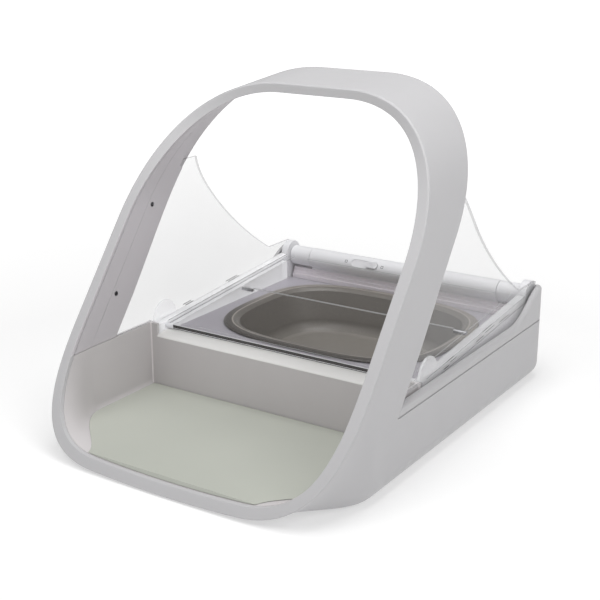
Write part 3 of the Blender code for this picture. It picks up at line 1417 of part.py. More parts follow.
def contact_spring(name, side, start, end):
    """A coned coil whose narrow end presses on the last cell; its turns nest when it is squeezed flat."""
    count = int(SPRING_TURNS * SPRING_POINTS_PER_TURN)
    first = start + SPRING_WIRE_RADIUS
    last = end - SPRING_WIRE_RADIUS
    bm = bmesh.new()
    rings = []
    for step in range(count + 1):
        angle = math.tau * step / SPRING_POINTS_PER_TURN
        out = Vector((0.0, math.cos(angle), math.sin(angle)))
        along = Vector((side * mix(first, last, step / count), CELL_Y, CELL_Z))
        centre = along + out * mix(SPRING_CELL_RADIUS, SPRING_WALL_RADIUS, step / count)
        ring = []
        for index in range(SPRING_WIRE_SIDES):
            turn = math.tau * index / SPRING_WIRE_SIDES
            across = Vector((math.sin(turn), 0.0, 0.0)) + out * math.cos(turn)
            ring.append(bm.verts.new(centre + across * SPRING_WIRE_RADIUS))
        rings.append(ring)
    join_rings(bm, rings)
    bmesh.ops.triangulate(bm, faces=bm.faces)
    return object_from(mesh_from(bm, name), name, "steel")


def board_and_buttons():
    front = BOARD_REAR_Y - BOARD_THICKNESS
    board = box(
        "circuit_board",
        (-BOARD_HALF_WIDTH, front, BOARD_LOW_Z),
        (BOARD_HALF_WIDTH, BOARD_REAR_Y, BOARD_HIGH_Z),
        "board",
    )
    for side, word, name in ((-1, "left", "add_pet_button"), (1, "right", "open_close_button")):
        half = SWITCH_BODY_HALF
        body = box(
            f"switch_body_{word}",
            (side * BUTTON_X - half, front, BUTTON_Z - half),
            (side * BUTTON_X + half, BOARD_REAR_Y + SWITCH_BODY_DEPTH, BUTTON_Z + half),
        )
        join(board, body)
        wall = REAR_Y - HOUSING_WALL - CLEARANCE
        flange = BUTTON_RADIUS + BUTTON_FLANGE
        start = BOARD_REAR_Y + SWITCH_BODY_DEPTH + BUTTON_TRAVEL + CLEARANCE
        end = REAR_Y + BUTTON_STANDOUT
        profile = (
            (BUTTON_RADIUS / 2, start),
            (BUTTON_RADIUS / 2, wall - BUTTON_FLANGE_THICKNESS),
            (flange, wall - BUTTON_FLANGE_THICKNESS),
            (flange, wall),
            (BUTTON_RADIUS, wall),
            (BUTTON_RADIUS, end - BUTTON_STANDOUT / 2),
            (BUTTON_RADIUS - BUTTON_STANDOUT / 2, end),
        )
        turned(name, profile, "Y", (side * BUTTON_X, 0.0, BUTTON_Z), "white")


def small_parts():
    for side, word in ((-1, "left"), (1, "right")):
        for height, place in zip(SENSOR_HEIGHTS, ("lower", "upper")):
            sensor_pin(f"pet_sensor_{place}_{word}", side, height, "dark", 0.0)
        for (x, y), place in zip(FOOT_PLACES, ("front", "rear")):
            top = BOTTOM_Z + FOOT_RECESS_DEPTH - CLEARANCE
            edge = FOOT_STANDOUT / 2
            profile = ((FOOT_RADIUS - edge, 0.0), (FOOT_RADIUS, edge), (FOOT_RADIUS, top))
            turned(f"rubber_foot_{place}_{word}", profile, "Z", (side * x, y, 0.0), "rubber")
        for (x, y), place in zip(SCREW_PLACES, ("front", "middle", "rear")):
            base_screw(f"base_screw_{place}_{word}", (side * x, y, 0.0), "steel", 0.0)


def hang_on_axis(name, centre, pieces):
    """An empty on a joint's axis, with the pieces that turn or slide there as its children."""
    pivot = bpy.data.objects.new(name, None)
    pivot.location = centre
    PARTS.objects.link(pivot)
    for piece in pieces:
        obj = bpy.data.objects[piece]
        obj.parent = pivot
        obj.matrix_parent_inverse = Matrix.Translation(centre).inverted()


def joints():
    rear_pieces = ["lid_rear_panel", "drive_shaft", "idle_pin"]
    front_pieces = ["lid_front_panel"]
    for word in ("left", "right"):
        rear_pieces += [f"lid_barrel_{word}", f"hinge_pin_{word}"]
        front_pieces += [f"guide_peg_{word}"]
    hang_on_axis("lid_rear_axis", (0.0, LID_AXIS_Y, LID_AXIS_Z), rear_pieces)
    hang_on_axis("lid_front_axis", (0.0, *lid_point(PANEL_LENGTH, 0.0)), front_pieces)


def feeder():
    lower_housing()
    antenna_coil()
    arch_lining()
    front_tray()
    front_mat()
    deck_frame()
    bowl_tray()
    bowl()
    tube_housing()
    delay_slider()
    lid_drive()
    lid_rear_panel()
    lid_front_panel()
    lid_fittings()
    for side, word in ((-1, "left"), (1, "right")):
        side_rail(side, word)
        tube_cap(side, word)
        side_panel(side, word)
    batteries()
    board_and_buttons()
    small_parts()
    joints()


feeder()
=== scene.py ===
"""A microchip pet feeder in a pale studio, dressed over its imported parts.

Metres, +Z up, the feeder's front towards -Y. Each section makes one piece, in
the order in which the feeder is put together, from the housing up to the lid.
"""

import math

import bmesh
import bpy
from mathutils import Matrix, Vector


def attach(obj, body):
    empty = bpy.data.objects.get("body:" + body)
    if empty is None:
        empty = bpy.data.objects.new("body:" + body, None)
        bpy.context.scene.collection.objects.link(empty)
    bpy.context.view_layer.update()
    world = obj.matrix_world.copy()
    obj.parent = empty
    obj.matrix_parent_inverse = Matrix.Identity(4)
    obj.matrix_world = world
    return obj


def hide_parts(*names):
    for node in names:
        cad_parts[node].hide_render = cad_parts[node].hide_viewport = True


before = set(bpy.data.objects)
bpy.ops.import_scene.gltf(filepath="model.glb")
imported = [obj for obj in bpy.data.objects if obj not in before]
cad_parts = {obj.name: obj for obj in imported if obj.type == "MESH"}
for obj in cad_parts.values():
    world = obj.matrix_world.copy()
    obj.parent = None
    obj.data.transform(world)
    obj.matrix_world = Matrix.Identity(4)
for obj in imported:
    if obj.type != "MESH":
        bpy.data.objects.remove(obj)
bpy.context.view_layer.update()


# Camera: stands at the feeder's front right corner and looks down on it by eighteen degrees.
# It's a portrait lens on a full-frame sensor, a little over a table's height away.
CAMERA_PLACE = (0.4246, -0.6577, 0.3340)
CAMERA_TURN = (math.radians(72.1), 0.0, math.radians(33.1))
CAMERA_LENS = 71.3
CAMERA_SENSOR = 36.0
CAMERA_NEAR = 0.01


def placed(name, data):
    obj = bpy.data.objects.new(name, data)
    bpy.context.scene.collection.objects.link(obj)
    return obj


camera = placed("camera", bpy.data.cameras.new("camera"))
camera.location = CAMERA_PLACE
camera.rotation_euler = CAMERA_TURN
camera.data.lens = CAMERA_LENS
camera.data.sensor_width = CAMERA_SENSOR
camera.data.clip_start = CAMERA_NEAR
bpy.context.scene.camera = camera


# Studio: a white sweep of floor under a pale sky, with broad lamps overhead, at the right and in front.
# The floor glows more the further it lies from the feeder, so that it stays white throughout.
# The classes that wire every material are here, because the floor's is the first.
FLOOR_COLOUR = (0.60, 0.60, 0.60)
FLOOR_GLOW = ((0.41, 0.41, 0.41), (0.95, 0.95, 0.95))
FLOOR_GLOW_REACH = (0.30, 1.30)
FLOOR_HALF = 300.0
SKY_COLOUR = (1.0, 1.0, 1.0)
SKY_STRENGTH = 0.34
LAMP_AIM = (0.0, 0.0, 0.08)
LAMPS = {
    "top_lamp": ((0.05, 0.10, 1.00), 0.65, 4.2),
    "side_lamp": ((1.05, -0.20, 0.95), 0.80, 3.9),
    "front_lamp": ((-0.10, -0.60, 1.10), 0.80, 4.2),
}


def operator(operation, swapped=False):
    """One of Python's operators, as a Math node."""

    def apply(wire, other):
        return wire.finish.maths(operation, *((other, wire) if swapped else (wire, other)))

    return apply


class Wire:
    """The output of one shader node. Python's operators on it add Math nodes."""

    __add__ = __radd__ = operator("ADD")
    __mul__ = __rmul__ = operator("MULTIPLY")
    __sub__, __rsub__ = operator("SUBTRACT"), operator("SUBTRACT", True)
    __truediv__, __rtruediv__ = operator("DIVIDE"), operator("DIVIDE", True)
    __pow__, __rpow__ = operator("POWER"), operator("POWER", True)
    __lt__, __gt__ = operator("LESS_THAN"), operator("GREATER_THAN")

    def __init__(self, finish, socket):
        self.finish = finish
        self.socket = socket

    def __abs__(self):
        return self.finish.maths("ABSOLUTE", self)


class Finish:
    """One material, its nodes added by a single method. Its place is the surface point in metres."""

    def __init__(self, name):
        self.material = bpy.data.materials.new(name)
        self.material.use_nodes = True
        self.tree = self.material.node_tree
        self.place = self.node("ShaderNodeTexCoord", output="Object")

    def node(self, kind, settings=None, inputs=None, output=0):
        made = self.tree.nodes.new(kind)
        for key, value in (settings or {}).items():
            setattr(made, key, value)
        for key, value in (inputs or {}).items():
            self.feed(made.inputs[key], value)
        return Wire(self, made.outputs[output])

    def feed(self, socket, value):
        if isinstance(value, Wire):
            self.tree.links.new(value.socket, socket)
        else:
            socket.default_value = (*value, 1.0) if socket.type == "RGBA" else value

    def set(self, **values):
        shader = self.tree.nodes["Principled BSDF"]
        for key, value in values.items():
            self.feed(shader.inputs[key.replace("_", " ")], value)
        return self

    def maths(self, operation, *values):
        return self.node("ShaderNodeMath", {"operation": operation}, dict(enumerate(values)))

    def axes(self):
        return [self.node("ShaderNodeSeparateXYZ", None, {0: self.place}, axis) for axis in "XYZ"]

    def noise(self, scale, detail=2.0, place=None):
        inputs = {"Vector": place or self.place, "Scale": scale, "Detail": detail}
        return self.node("ShaderNodeTexNoise", None, inputs)

    def ramp(self, value, start, end):
        """A share that runs from 0 at the start value to 1 at the end value."""
        return self.node("ShaderNodeMapRange", None, {"Value": value, "From Min": start, "From Max": end})

    def blend(self, share, first, second):
        """A colour between two, at a share from 0 to 1."""
        return self.node("ShaderNodeMix", {"data_type": "RGBA"}, {"Factor": share, 6: first, 7: second}, 2)

    def mottled(self, share, colour, low, high=1.0):
        """A colour that varies between a darker and a paler shade of itself."""
        return self.blend(share, shade(colour, low), shade(colour, high))

    def bump(self, height, distance, strength=1.0):
        inputs = {"Height": height, "Distance": distance, "Strength": strength}
        return self.node("ShaderNodeBump", None, inputs)

    def grain(self, depth, strength=0.6):
        """The fine relief that a spark-eroded mould leaves."""
        return self.bump(self.noise(1900.0, 3.0), depth, strength)


def shade(colour, share):
    return tuple(channel * share for channel in colour)


FLOOR = Finish("studio_floor")
distance = FLOOR.node("ShaderNodeVectorMath", {"operation": "LENGTH"}, {0: FLOOR.place}, 1)
glow = FLOOR.blend(FLOOR.ramp(distance, *FLOOR_GLOW_REACH), *FLOOR_GLOW)
FLOOR.set(Base_Color=FLOOR.mottled(FLOOR.noise(3.0), FLOOR_COLOUR, 0.99), Roughness=0.9)
FLOOR.set(Emission_Color=glow, Emission_Strength=1.0)
bpy.ops.mesh.primitive_plane_add(size=2 * FLOOR_HALF)
floor = bpy.context.object
floor.name = "floor"
floor.data.materials.append(FLOOR.material)
for name, (place, size, power) in LAMPS.items():
    light = bpy.data.lights.new(name, "AREA")
    light.shape = "DISK"
    light.size = size
    light.energy = power
    lamp = placed(name, light)
    lamp.location = place
    lamp.rotation_euler = (Vector(LAMP_AIM) - Vector(place)).to_track_quat("-Z", "Y").to_euler()
world = bpy.data.worlds.new("sky")
world.use_nodes = True
sky = world.node_tree.nodes["Background"].inputs
sky["Color"].default_value = (*SKY_COLOUR, 1.0)
sky["Strength"].default_value = SKY_STRENGTH
bpy.context.scene.world = world
bpy.context.scene.view_settings.view_transform = "Standard"


# Lower housing: one ABS moulding with a fine sparked texture, the leaning ring-shaped arch in one
# with the trough behind it. Its wall is 2.5 mm, its front lip 7.7 mm wide with a rolled edge.
SIDES = ((-1, "left"), (1, "right"))
HALF_WIDTH = 0.1150
FACE_Y = -0.1627
REAR_Y = 0.1621
BOTTOM_Z = 0.0010
GAP = 0.0003
OVERRUN = 0.0050
EVERYWHERE = (-1, 1)
TRIM = 0.00002
LEAN = math.radians(37.3)
RING_HEIGHT = 0.2849
RING_BOW = 0.0016
LOWER_RUN = 0.0587
LOWER_RISE = 0.0950
UPPER_RUN = 0.0883
UPPER_DROP = 0.1143
SIDE_TOP = RING_HEIGHT - UPPER_DROP
LOWER_SHARES = (0.90, 0.48)
UPPER_SHARES = (0.58, 0.62)
ROUND_SHARE = 0.55
LIP_WIDTH = 0.0077
LIP_THICKNESS = 0.0030
LIP_ROUND = 0.0010
LIP_INNER_ROUND = 0.0006
CROWN_LEAN = math.radians(32.7)
CROWN_LIP_EXTRA = 0.0014
ARCH_DEPTH = 0.0535
ARCH_INNER_DEPTH = 0.0455
ARCH_REAR_EDGE = 0.0012
ARCH_CROWN_TAPER = 0.0060
ARCH_TAPER_START = 0.0080
ARCH_RISE = math.radians(5.3)
BLEND_DEPTH = 0.0600
BASE_START_SHARE = 0.72
WALL = 0.0025
EDGE_RADIUS = 0.0120
REAR_RADIUS = 0.0200
BASE_STRAIGHT_Y = 0.0600
SEAM_Z = 0.0463
SEAM_GROOVE = 0.0004
GROOVE_START_SHARE = 1.5
TROUGH_HEIGHT = 0.0800
TRAY_TOP_Z = 0.0556
CORNER_STEPS = 40
STRAIGHT_STEPS = 10
REAR_STEPS = 20
ROUND_STEPS = 6
FACE_STEPS = 4
DEPTH_STEP = 0.0040
SMOOTH_ANGLE = math.radians(30)
LINING_DEPTH = 0.0200
WING_OUTER = 0.0043
WING_INNER = 0.0065
WING_FRONT_DEPTH = 0.0400
WING_TOP = (0.0180, 0.1680)
ARCH_WALL_X = HALF_WIDTH - LIP_WIDTH
SENSOR_DEPTH = 0.0245
SENSOR_HEIGHTS = (0.0867, 0.1414)
SENSOR_RADIUS = 0.0015
SENSOR_LENGTH = 0.0045
DOOR_XS = (0.0020, 0.1010)
DOOR_YS = (-0.0342, -0.0079)
BOARD_REAR_Y = 0.1540
BOSS_RADIUS = 0.0030
BOSS_X = 0.0320
BUTTON_X = 0.0140
BUTTON_Z = 0.0300
BUTTON_RADIUS = 0.0050
FOOT_PLACES = ((0.0700, -0.1080), (0.0850, 0.1350))
FOOT_RADIUS = 0.0070
RECESS_DEPTH = 0.0012
SCREW_PLACES = ((0.0980, 0.0040), (0.0980, 0.0900), (0.0600, 0.1460))
HEAD_RADIUS = 0.0030
SHANK_RADIUS = 0.0014
SCREW_SEAT_Z = 0.0026
SCREW_END_Z = 0.0093
POST_RADIUS = 0.0036
POST_TOP_Z = 0.0120
SHELL_COLOUR = (0.515, 0.51, 0.52)
FRONT_Y = FACE_Y - LIP_ROUND * (1 + math.sin(LEAN) - math.hypot(1, math.sin(LEAN)))


def moulded(name, colour, roughness, grain=0.00002):
    """A plastic's finish: spark-eroded grain, a faint cloudiness and uneven gloss."""
    finish = Finish(name)
    cloud = finish.noise(35.0, 3.0) * 0.7 + finish.noise(2600.0, 1.0) * 0.3
    gloss = finish.noise(160.0) * 0.10 + (roughness - 0.05)
    finish.set(Base_Color=finish.mottled(cloud, colour, 0.97, 1.03), IOR=1.46)
    return finish.set(Roughness=gloss, Normal=finish.grain(grain))


def smooth_step(value):
    value = min(max(value, 0.0), 1.0)
    return value * value * (3 - 2 * value)


def mix(first, second, share):
    return first + (second - first) * share


def spread(low, high, step):
    """Even places from low to high, no further apart than step."""
    count = max(1, math.ceil((high - low) / step - 1e-6))
    return [mix(low, high, index / count) for index in range(count + 1)]


def arc(steps, whole=math.pi / 2):
    """The cosine and sine at even steps through an angle."""
    angles = [whole * step / steps for step in range(steps + 1)]
    return [(math.cos(angle), math.sin(angle)) for angle in angles]


def bezier(points, steps):
    """Points along a cubic curve, its start left out."""
    found = []
    for step in range(1, steps + 1):
        t = step / steps
        weights = ((1 - t) ** 3, 3 * t * (1 - t) ** 2, 3 * t * t * (1 - t), t**3)
        found.append(tuple(sum(w * p[axis] for w, p in zip(weights, points)) for axis in (0, 1)))
    return found


def lower_half(blend, top, width=HALF_WIDTH, angle=LEAN):
    """Half an outline as (x, height along the section), from the bottom's middle up the straight side.

    Its corner turns with the blend from the ring's sweeping one into the trough's tight one.
    """
    run = mix(LOWER_RUN, EDGE_RADIUS, blend)
    rise = mix(LOWER_RISE, EDGE_RADIUS / math.cos(angle), blend)
    bow = mix(RING_BOW, 0.0, blend)
    out_share, up_share = [mix(share, ROUND_SHARE, blend) for share in LOWER_SHARES]
    start_x = width - run
    leaving = (start_x + run * out_share, bow + run * out_share * 2 * bow / start_x)
    arriving = (width, rise - rise * up_share)
    shares = [step / STRAIGHT_STEPS for step in range(STRAIGHT_STEPS + 1)]
    half = [(start_x * share, bow * share**2) for share in shares]
    half += bezier(((start_x, bow), leaving, arriving, (width, rise)), CORNER_STEPS)
    return half + [(width, mix(rise, top, step / CORNER_STEPS)) for step in range(1, CORNER_STEPS + 1)]


def ring_half(blend):
    """Half the ring's outline, from the bottom's middle to the crown's."""
    end_x = HALF_WIDTH - UPPER_RUN
    leaving = (HALF_WIDTH, SIDE_TOP + UPPER_DROP * UPPER_SHARES[0])
    arriving = (end_x + UPPER_RUN * UPPER_SHARES[1], RING_HEIGHT)
    corner = ((HALF_WIDTH, SIDE_TOP), leaving, arriving, (end_x, RING_HEIGHT))
    crown = [(end_x * (1 - step / STRAIGHT_STEPS), RING_HEIGHT) for step in range(1, STRAIGHT_STEPS + 1)]
    return lower_half(blend, SIDE_TOP) + bezier(corner, CORNER_STEPS) + crown


def drawn_in(points, inset):
    """An outline moved in by one distance or, where inset is a function, by its value at each height."""
    found = []
    for index, (x, height) in enumerate(points):
        before = points[max(index - 1, 0)]
        after = points[min(index + 1, len(points) - 1)]
        along = Vector((after[0] - before[0], after[1] - before[1])).normalized()
        inward = Vector((-along.y, along.x)) if x else Vector((0.0, round(along.x)))
        distance = inset(height) if callable(inset) else inset
        found.append((x + inward.x * distance, height + inward.y * distance))
    return found


def mirrored(half):
    return half + [(-x, height) for x, height in half if x > 0.0][::-1]


def leaning_section(points, rising=True):
    """Outline points of (x, slant, depth) laid in the ring's leaning plane."""
    side_start = LOWER_RISE * math.cos(LEAN)
    side_length = (SIDE_TOP - LOWER_RISE) * math.cos(LEAN)
    section = []
    for x, slant, back in points:
        height = slant * math.cos(LEAN)
        rise = smooth_step((height - side_start) / side_length) if rising else 0.0
        lift = rise * math.tan(ARCH_RISE) * max(back, 0.0)
        section.append((x, FRONT_Y + back + slant * math.sin(LEAN), BOTTOM_Z + height + lift))
    return section


def ring_section(inset, depth):
    """The whole ring at a depth; inset and depth may each vary with the place up the slant."""
    depth_at = depth if callable(depth) else lambda slant: depth
    half = ring_half(smooth_step(depth_at(0.0) / BLEND_DEPTH))
    depths = [depth_at(slant) for x, slant in mirrored(half)]
    points = zip(mirrored(drawn_in(half, inset)), depths)
    return leaning_section([(*point, back) for point, back in points])


def trough_section(inset, depth):
    """The ring's lower part only, run up its sides to a level above the deck."""
    half = lower_half(smooth_step(depth / BLEND_DEPTH), LOWER_RISE + OVERRUN)
    return leaning_section([(*point, depth) for point in mirrored(drawn_in(half, inset))], rising=False)


def trough(name, inset, front_depth):
    """The trough from the ring back, its sides drawn in and its edge lifted round the rear corners."""
    radius = REAR_RADIUS - inset
    edge = EDGE_RADIUS - inset
    straight = spread(BASE_STRAIGHT_Y, REAR_Y - REAR_RADIUS, 4 * DEPTH_STEP)[:-1]
    upright = [(y, 0.0, 0.0) for y in straight]
    for cosine, sine in arc(REAR_STEPS):
        edge_reach = min(max(radius * sine - (radius - edge), 0.0) / edge, 1.0)
        lift = edge * (1 - math.sqrt(1 - edge_reach**2))
        upright.append((REAR_Y - REAR_RADIUS + radius * sine, radius * (1 - cosine), lift))
    sections = [trough_section(inset, depth) for depth in spread(front_depth, BLEND_DEPTH, DEPTH_STEP)]
    for y, narrowing, lift in upright:
        half = drawn_in(lower_half(1.0, TROUGH_HEIGHT, HALF_WIDTH - narrowing, 0.0), inset)
        share = 1 - lift / TROUGH_HEIGHT
        sections.append([(x, y, BOTTOM_Z + lift + height * share) for x, height in mirrored(half)])
    return loft(name, sections)


def crown_share(slant):
    return smooth_step((slant - SIDE_TOP) / UPPER_DROP)


def lip_width(slant):
    return LIP_WIDTH + CROWN_LIP_EXTRA * crown_share(slant)


def face_depth(slant, inset):
    """How far back the lip's face lies, which turns over the crown to look straight ahead there."""
    lean = CROWN_LEAN * crown_share(slant)
    inward = max(inset - LIP_ROUND * (1 + math.sin(lean)), 0.0)
    return LIP_ROUND * (1 - math.cos(lean)) + inward * math.tan(lean)


def lip_point(stage, slant):
    """The lip's cross-section as (inset, depth): 0 inner wall, 1 to 2 face, 3 outside."""
    lean = CROWN_LEAN * crown_share(slant)
    if stage <= 1:
        width = lip_width(slant)
        angle = stage * (math.pi / 2 - lean)
        turn = LIP_INNER_ROUND * math.tan((math.pi / 2 - lean) / 2)
        depth = face_depth(slant, width) + turn - LIP_INNER_ROUND * math.sin(angle)
        return width - LIP_INNER_ROUND * (1 - math.cos(angle)), depth
    angle = mix(lean, -math.pi / 2, max(stage - 2, 0))
    outer = (LIP_ROUND * (1 + math.sin(angle)), LIP_ROUND * (1 - math.cos(angle)))
    if stage > 2:
        return outer
    return tuple(mix(first, second, stage - 1) for first, second in zip(lip_point(1, slant), outer))


def behind_lip(inset, back):
    """Two sections that run parallel to the lip's face, a distance behind it."""
    inner = ring_section(lip_width, lambda slant: back + face_depth(slant, lip_width(slant)))
    return [inner, ring_section(inset, lambda slant: back + face_depth(slant, inset))]


def inner_surface_inset(depth):
    """The arch's wall thickness at a depth: constant at the sides, thinning towards the back at the crown."""
    share = (depth - ARCH_TAPER_START) / (ARCH_INNER_DEPTH - ARCH_TAPER_START)
    taper = (ARCH_CROWN_TAPER + CROWN_LIP_EXTRA) * min(max(share, 0.0), 1.0)
    return lambda slant: lip_width(slant) - TRIM - taper * crown_share(slant)


def arch_opening():
    """What the arch's opening leaves out above the tray."""
    depths = [-OVERRUN, 0.0] + spread(ARCH_TAPER_START, ARCH_INNER_DEPTH, DEPTH_STEP)
    sections = [ring_section(inner_surface_inset(depth), depth) for depth in depths]
    sections += [ring_section(ARCH_REAR_EDGE, ARCH_DEPTH + beyond) for beyond in (GAP, OVERRUN)]
    return cut(loft("opening", sections), below(TRAY_TOP_Z))


def mesh_object(bm, name):
    bmesh.ops.recalc_face_normals(bm, faces=bm.faces)
    mesh = bpy.data.meshes.new(name)
    bm.to_mesh(mesh)
    bm.free()
    return placed(name, mesh)


def skinned(sections):
    """Closed sections of equal count, skinned one after another, ends capped."""
    bm = bmesh.new()
    rings = [[bm.verts.new(point) for point in section] for section in sections]
    for first, second in zip(rings, rings[1:]):
        for index, vertex in enumerate(first):
            following = (index + 1) % len(first)
            bm.faces.new((vertex, first[following], second[following], second[index]))
    bm.faces.new(rings[0][::-1])
    bm.faces.new(rings[-1])
    return bm


def loft(name, sections):
    return mesh_object(skinned(sections), name)


def block(name, *reaches):
    """A box from its lowest and highest X, Y and Z."""
    size = [high - low for low, high in reaches]
    middle = Vector([(high + low) / 2 for low, high in reaches])
    bm = bmesh.new()
    bmesh.ops.create_cube(bm, size=1.0, matrix=Matrix.Translation(middle) @ Matrix.Diagonal((*size, 1.0)))
    return mesh_object(bm, name)


def above(z):
    return block("above", EVERYWHERE, EVERYWHERE, (z, 1))


def below(z):
    return block("below", EVERYWHERE, EVERYWHERE, (-1, z))


def about(centre, reach):
    return centre - reach, centre + reach


def span(side, near, far):
    """Two distances from the middle as X values on one side, in rising order."""
    return sorted((side * near, side * far))


def turned(name, profile, axis, centre, side=1, sides=CORNER_STEPS):
    """Discs of (radius, place along the axis) joined into one turned solid; side -1 mirrors it in X."""
    discs = []
    for radius, along in profile:
        discs.append([(radius * cosine, radius * sine, along) for cosine, sine in arc(sides, math.tau)[:-1]])
    bm = skinned(discs)
    turns = {"X": Matrix.Rotation(math.pi / 2, 4, "Y"), "Y": Matrix.Rotation(-math.pi / 2, 4, "X")}
    bm.transform(Matrix.Diagonal((side, 1, 1, 1)) @ turns.get(axis, Matrix.Identity(4)))
    bm.transform(Matrix.Translation(centre))
    return mesh_object(bm, name)


def rod(name, radius, ends, axis, centre, side=1, sides=CORNER_STEPS):
    return turned(name, [(radius, end) for end in ends], axis, centre, side, sides)


def applied(obj):
    """The object with its modifiers made part of its mesh."""
    mesh = bpy.data.meshes.new_from_object(obj.evaluated_get(bpy.context.evaluated_depsgraph_get()))
    obj.modifiers.clear()
    obj.data = mesh
    return obj


def combine(obj, operation, tools):
    for tool in tools:
        modifier = obj.modifiers.new(operation.lower(), "BOOLEAN")
        modifier.operation = operation
        modifier.object = tool
        modifier.solver = "MANIFOLD"
        applied(obj)
        bpy.data.objects.remove(tool, do_unlink=True)
    return obj


def cut(obj, *tools):
    return combine(obj, "DIFFERENCE", tools)


def join(obj, *tools):
    return combine(obj, "UNION", tools)


def smooth(obj, angle=SMOOTH_ANGLE):
    """Smooth shading that keeps sharp edges sharp and large flats flat."""
    obj.data.shade_smooth()
    obj.data.set_sharp_from_angle(angle=angle)
    flats = obj.modifiers.new("flats", "WEIGHTED_NORMAL")
    flats.keep_sharp = True
    flats.weight = 100
    return applied(obj)


def fit(obj, finish, body, node):
    """Gives a piece its finish, its body and the part it stands for."""
    obj.data.materials.clear()
    obj.data.materials.append(finish.material)
    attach(obj, body)
    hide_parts(node)


def side_strip(name, side, outer, inner, front_depth, rear_depth):
    """A thin sheet that follows the arch's outline, run straight back."""
    half = ring_half(1.0)
    start = next(i for i, (x, height) in enumerate(half) if height > EDGE_RADIUS and x >= HALF_WIDTH)
    outside, inside = [drawn_in(half, inset)[start:-1] for inset in (outer, inner)]
    outline = outside + inside[::-1]
    sections = [[(side * x, slant, depth) for x, slant in outline] for depth in (front_depth, rear_depth)]
    return loft(name, [leaning_section(section) for section in sections])


def sensor_centre(height):
    return 0.0, FRONT_Y + (height - BOTTOM_Z) * math.tan(LEAN) + SENSOR_DEPTH, height


SHELL = moulded("shell_abs", SHELL_COLOUR, 0.50)
stages = [step / ROUND_STEPS for step in range(ROUND_STEPS)]
stages += [1 + step / FACE_STEPS for step in range(FACE_STEPS)]
stages += [2 + step / ROUND_STEPS for step in range(ROUND_STEPS + 1)]
sections = [ring_section(lip_width, lambda slant: lip_point(0, slant)[1] + LIP_INNER_ROUND)]
for stage in stages:
    inset = lambda slant: lip_point(stage, slant)[0]
    sections.append(ring_section(inset, lambda slant: lip_point(stage, slant)[1]))
sections += [ring_section(0.0, depth) for depth in spread(LIP_ROUND, ARCH_DEPTH, DEPTH_STEP)[1:]]
housing = loft("housing_shell", sections)
base = cut(trough("base", 0.0, BLEND_DEPTH * BASE_START_SHARE), above(SEAM_Z))
groove_reach = (FRONT_Y + BLEND_DEPTH * GROOVE_START_SHARE, 1)
groove = block("groove", EVERYWHERE, groove_reach, (SEAM_Z - SEAM_GROOVE, SEAM_Z + GAP))
cut(base, cut(groove, trough("groove_core", SEAM_GROOVE, BLEND_DEPTH * BASE_START_SHARE)))
join(housing, base)
cut(housing, cut(trough("cavity", WALL, LIP_THICKNESS), above(TRAY_TOP_Z + GAP)))
mouth_depths = (-OVERRUN, LIP_THICKNESS + OVERRUN)
mouth = loft("mouth", [trough_section(LIP_WIDTH - TRIM, depth) for depth in mouth_depths])
cut(mouth, above(TRAY_TOP_Z + GAP))
coil_inset = WALL - GAP
pocket_sections = [*behind_lip(coil_inset, LIP_THICKNESS - GAP), ring_section(coil_inset, LINING_DEPTH + GAP)]
pocket = cut(loft("coil_pocket", pocket_sections), below(TRAY_TOP_Z - GAP))
cut(housing, mouth, pocket, arch_opening())
for side in (-1, 1):
    slot_reach = (WING_OUTER - GAP, WING_INNER + GAP, WING_FRONT_DEPTH - GAP)
    slot = side_strip("slot", side, *slot_reach, ARCH_DEPTH + OVERRUN)
    cut(slot, below(TRAY_TOP_Z - 2 * GAP), above(WING_TOP[1] + OVERRUN))
    cut(housing, slot, block("door_opening", span(side, *DOOR_XS), DOOR_YS, about(BOTTOM_Z, OVERRUN)))
    for height in SENSOR_HEIGHTS:
        ends = (ARCH_WALL_X - OVERRUN, ARCH_WALL_X + SENSOR_LENGTH + GAP)
        cut(housing, rod("sensor_hole", SENSOR_RADIUS + GAP, ends, "X", sensor_centre(height), side))
    ends = (BOARD_REAR_Y + GAP, REAR_Y - WALL / 2)
    join(housing, rod("board_boss", BOSS_RADIUS, ends, "Y", (side * BOSS_X, 0.0, BUTTON_Z)))
    ends = (REAR_Y - WALL - OVERRUN, REAR_Y + OVERRUN)
    cut(housing, rod("button_hole", BUTTON_RADIUS + GAP, ends, "Y", (side * BUTTON_X, 0.0, BUTTON_Z)))
    for x, y in SCREW_PLACES:
        centre = (side * x, y, 0.0)
        post = (BOTTOM_Z + WALL / 2, POST_TOP_Z)
        join(housing, rod("screw_post", POST_RADIUS, post, "Z", centre))
        hole = [(HEAD_RADIUS + GAP, z) for z in (BOTTOM_Z - OVERRUN, SCREW_SEAT_Z + GAP)]
        hole += [(SHANK_RADIUS + GAP, z + GAP) for z in (SCREW_SEAT_Z, SCREW_END_Z)]
        cut(housing, turned("screw_hole", hole, "Z", centre))
    for x, y in FOOT_PLACES:
        ends = (-OVERRUN, BOTTOM_Z + RECESS_DEPTH)
        cut(housing, rod("foot_recess", FOOT_RADIUS + GAP, ends, "Z", (side * x, y, 0.0)))
fit(smooth(housing), SHELL, "root", "lower_housing")


# Arch lining: a separate inner skin that covers the tag-reading coil, pushed into a rebate of the arch.
# It's moulded in a warmer grey, painted paler as painted light against the arch's shade, and so are the
# housing's own inward faces behind it.
LINING_INSET = 0.0044
ARCH_MIDDLE_Z = 0.1100
INWARD_SHARE = 0.5
LINING_LIT_COLOUR = (0.58, 0.555, 0.58)


def refinish(obj, finish, chosen):
    """Gives another finish to the faces that a test picks."""
    obj.data.materials.append(finish.material)
    for face in obj.data.polygons:
        if chosen(face):
            face.material_index = len(obj.data.materials) - 1


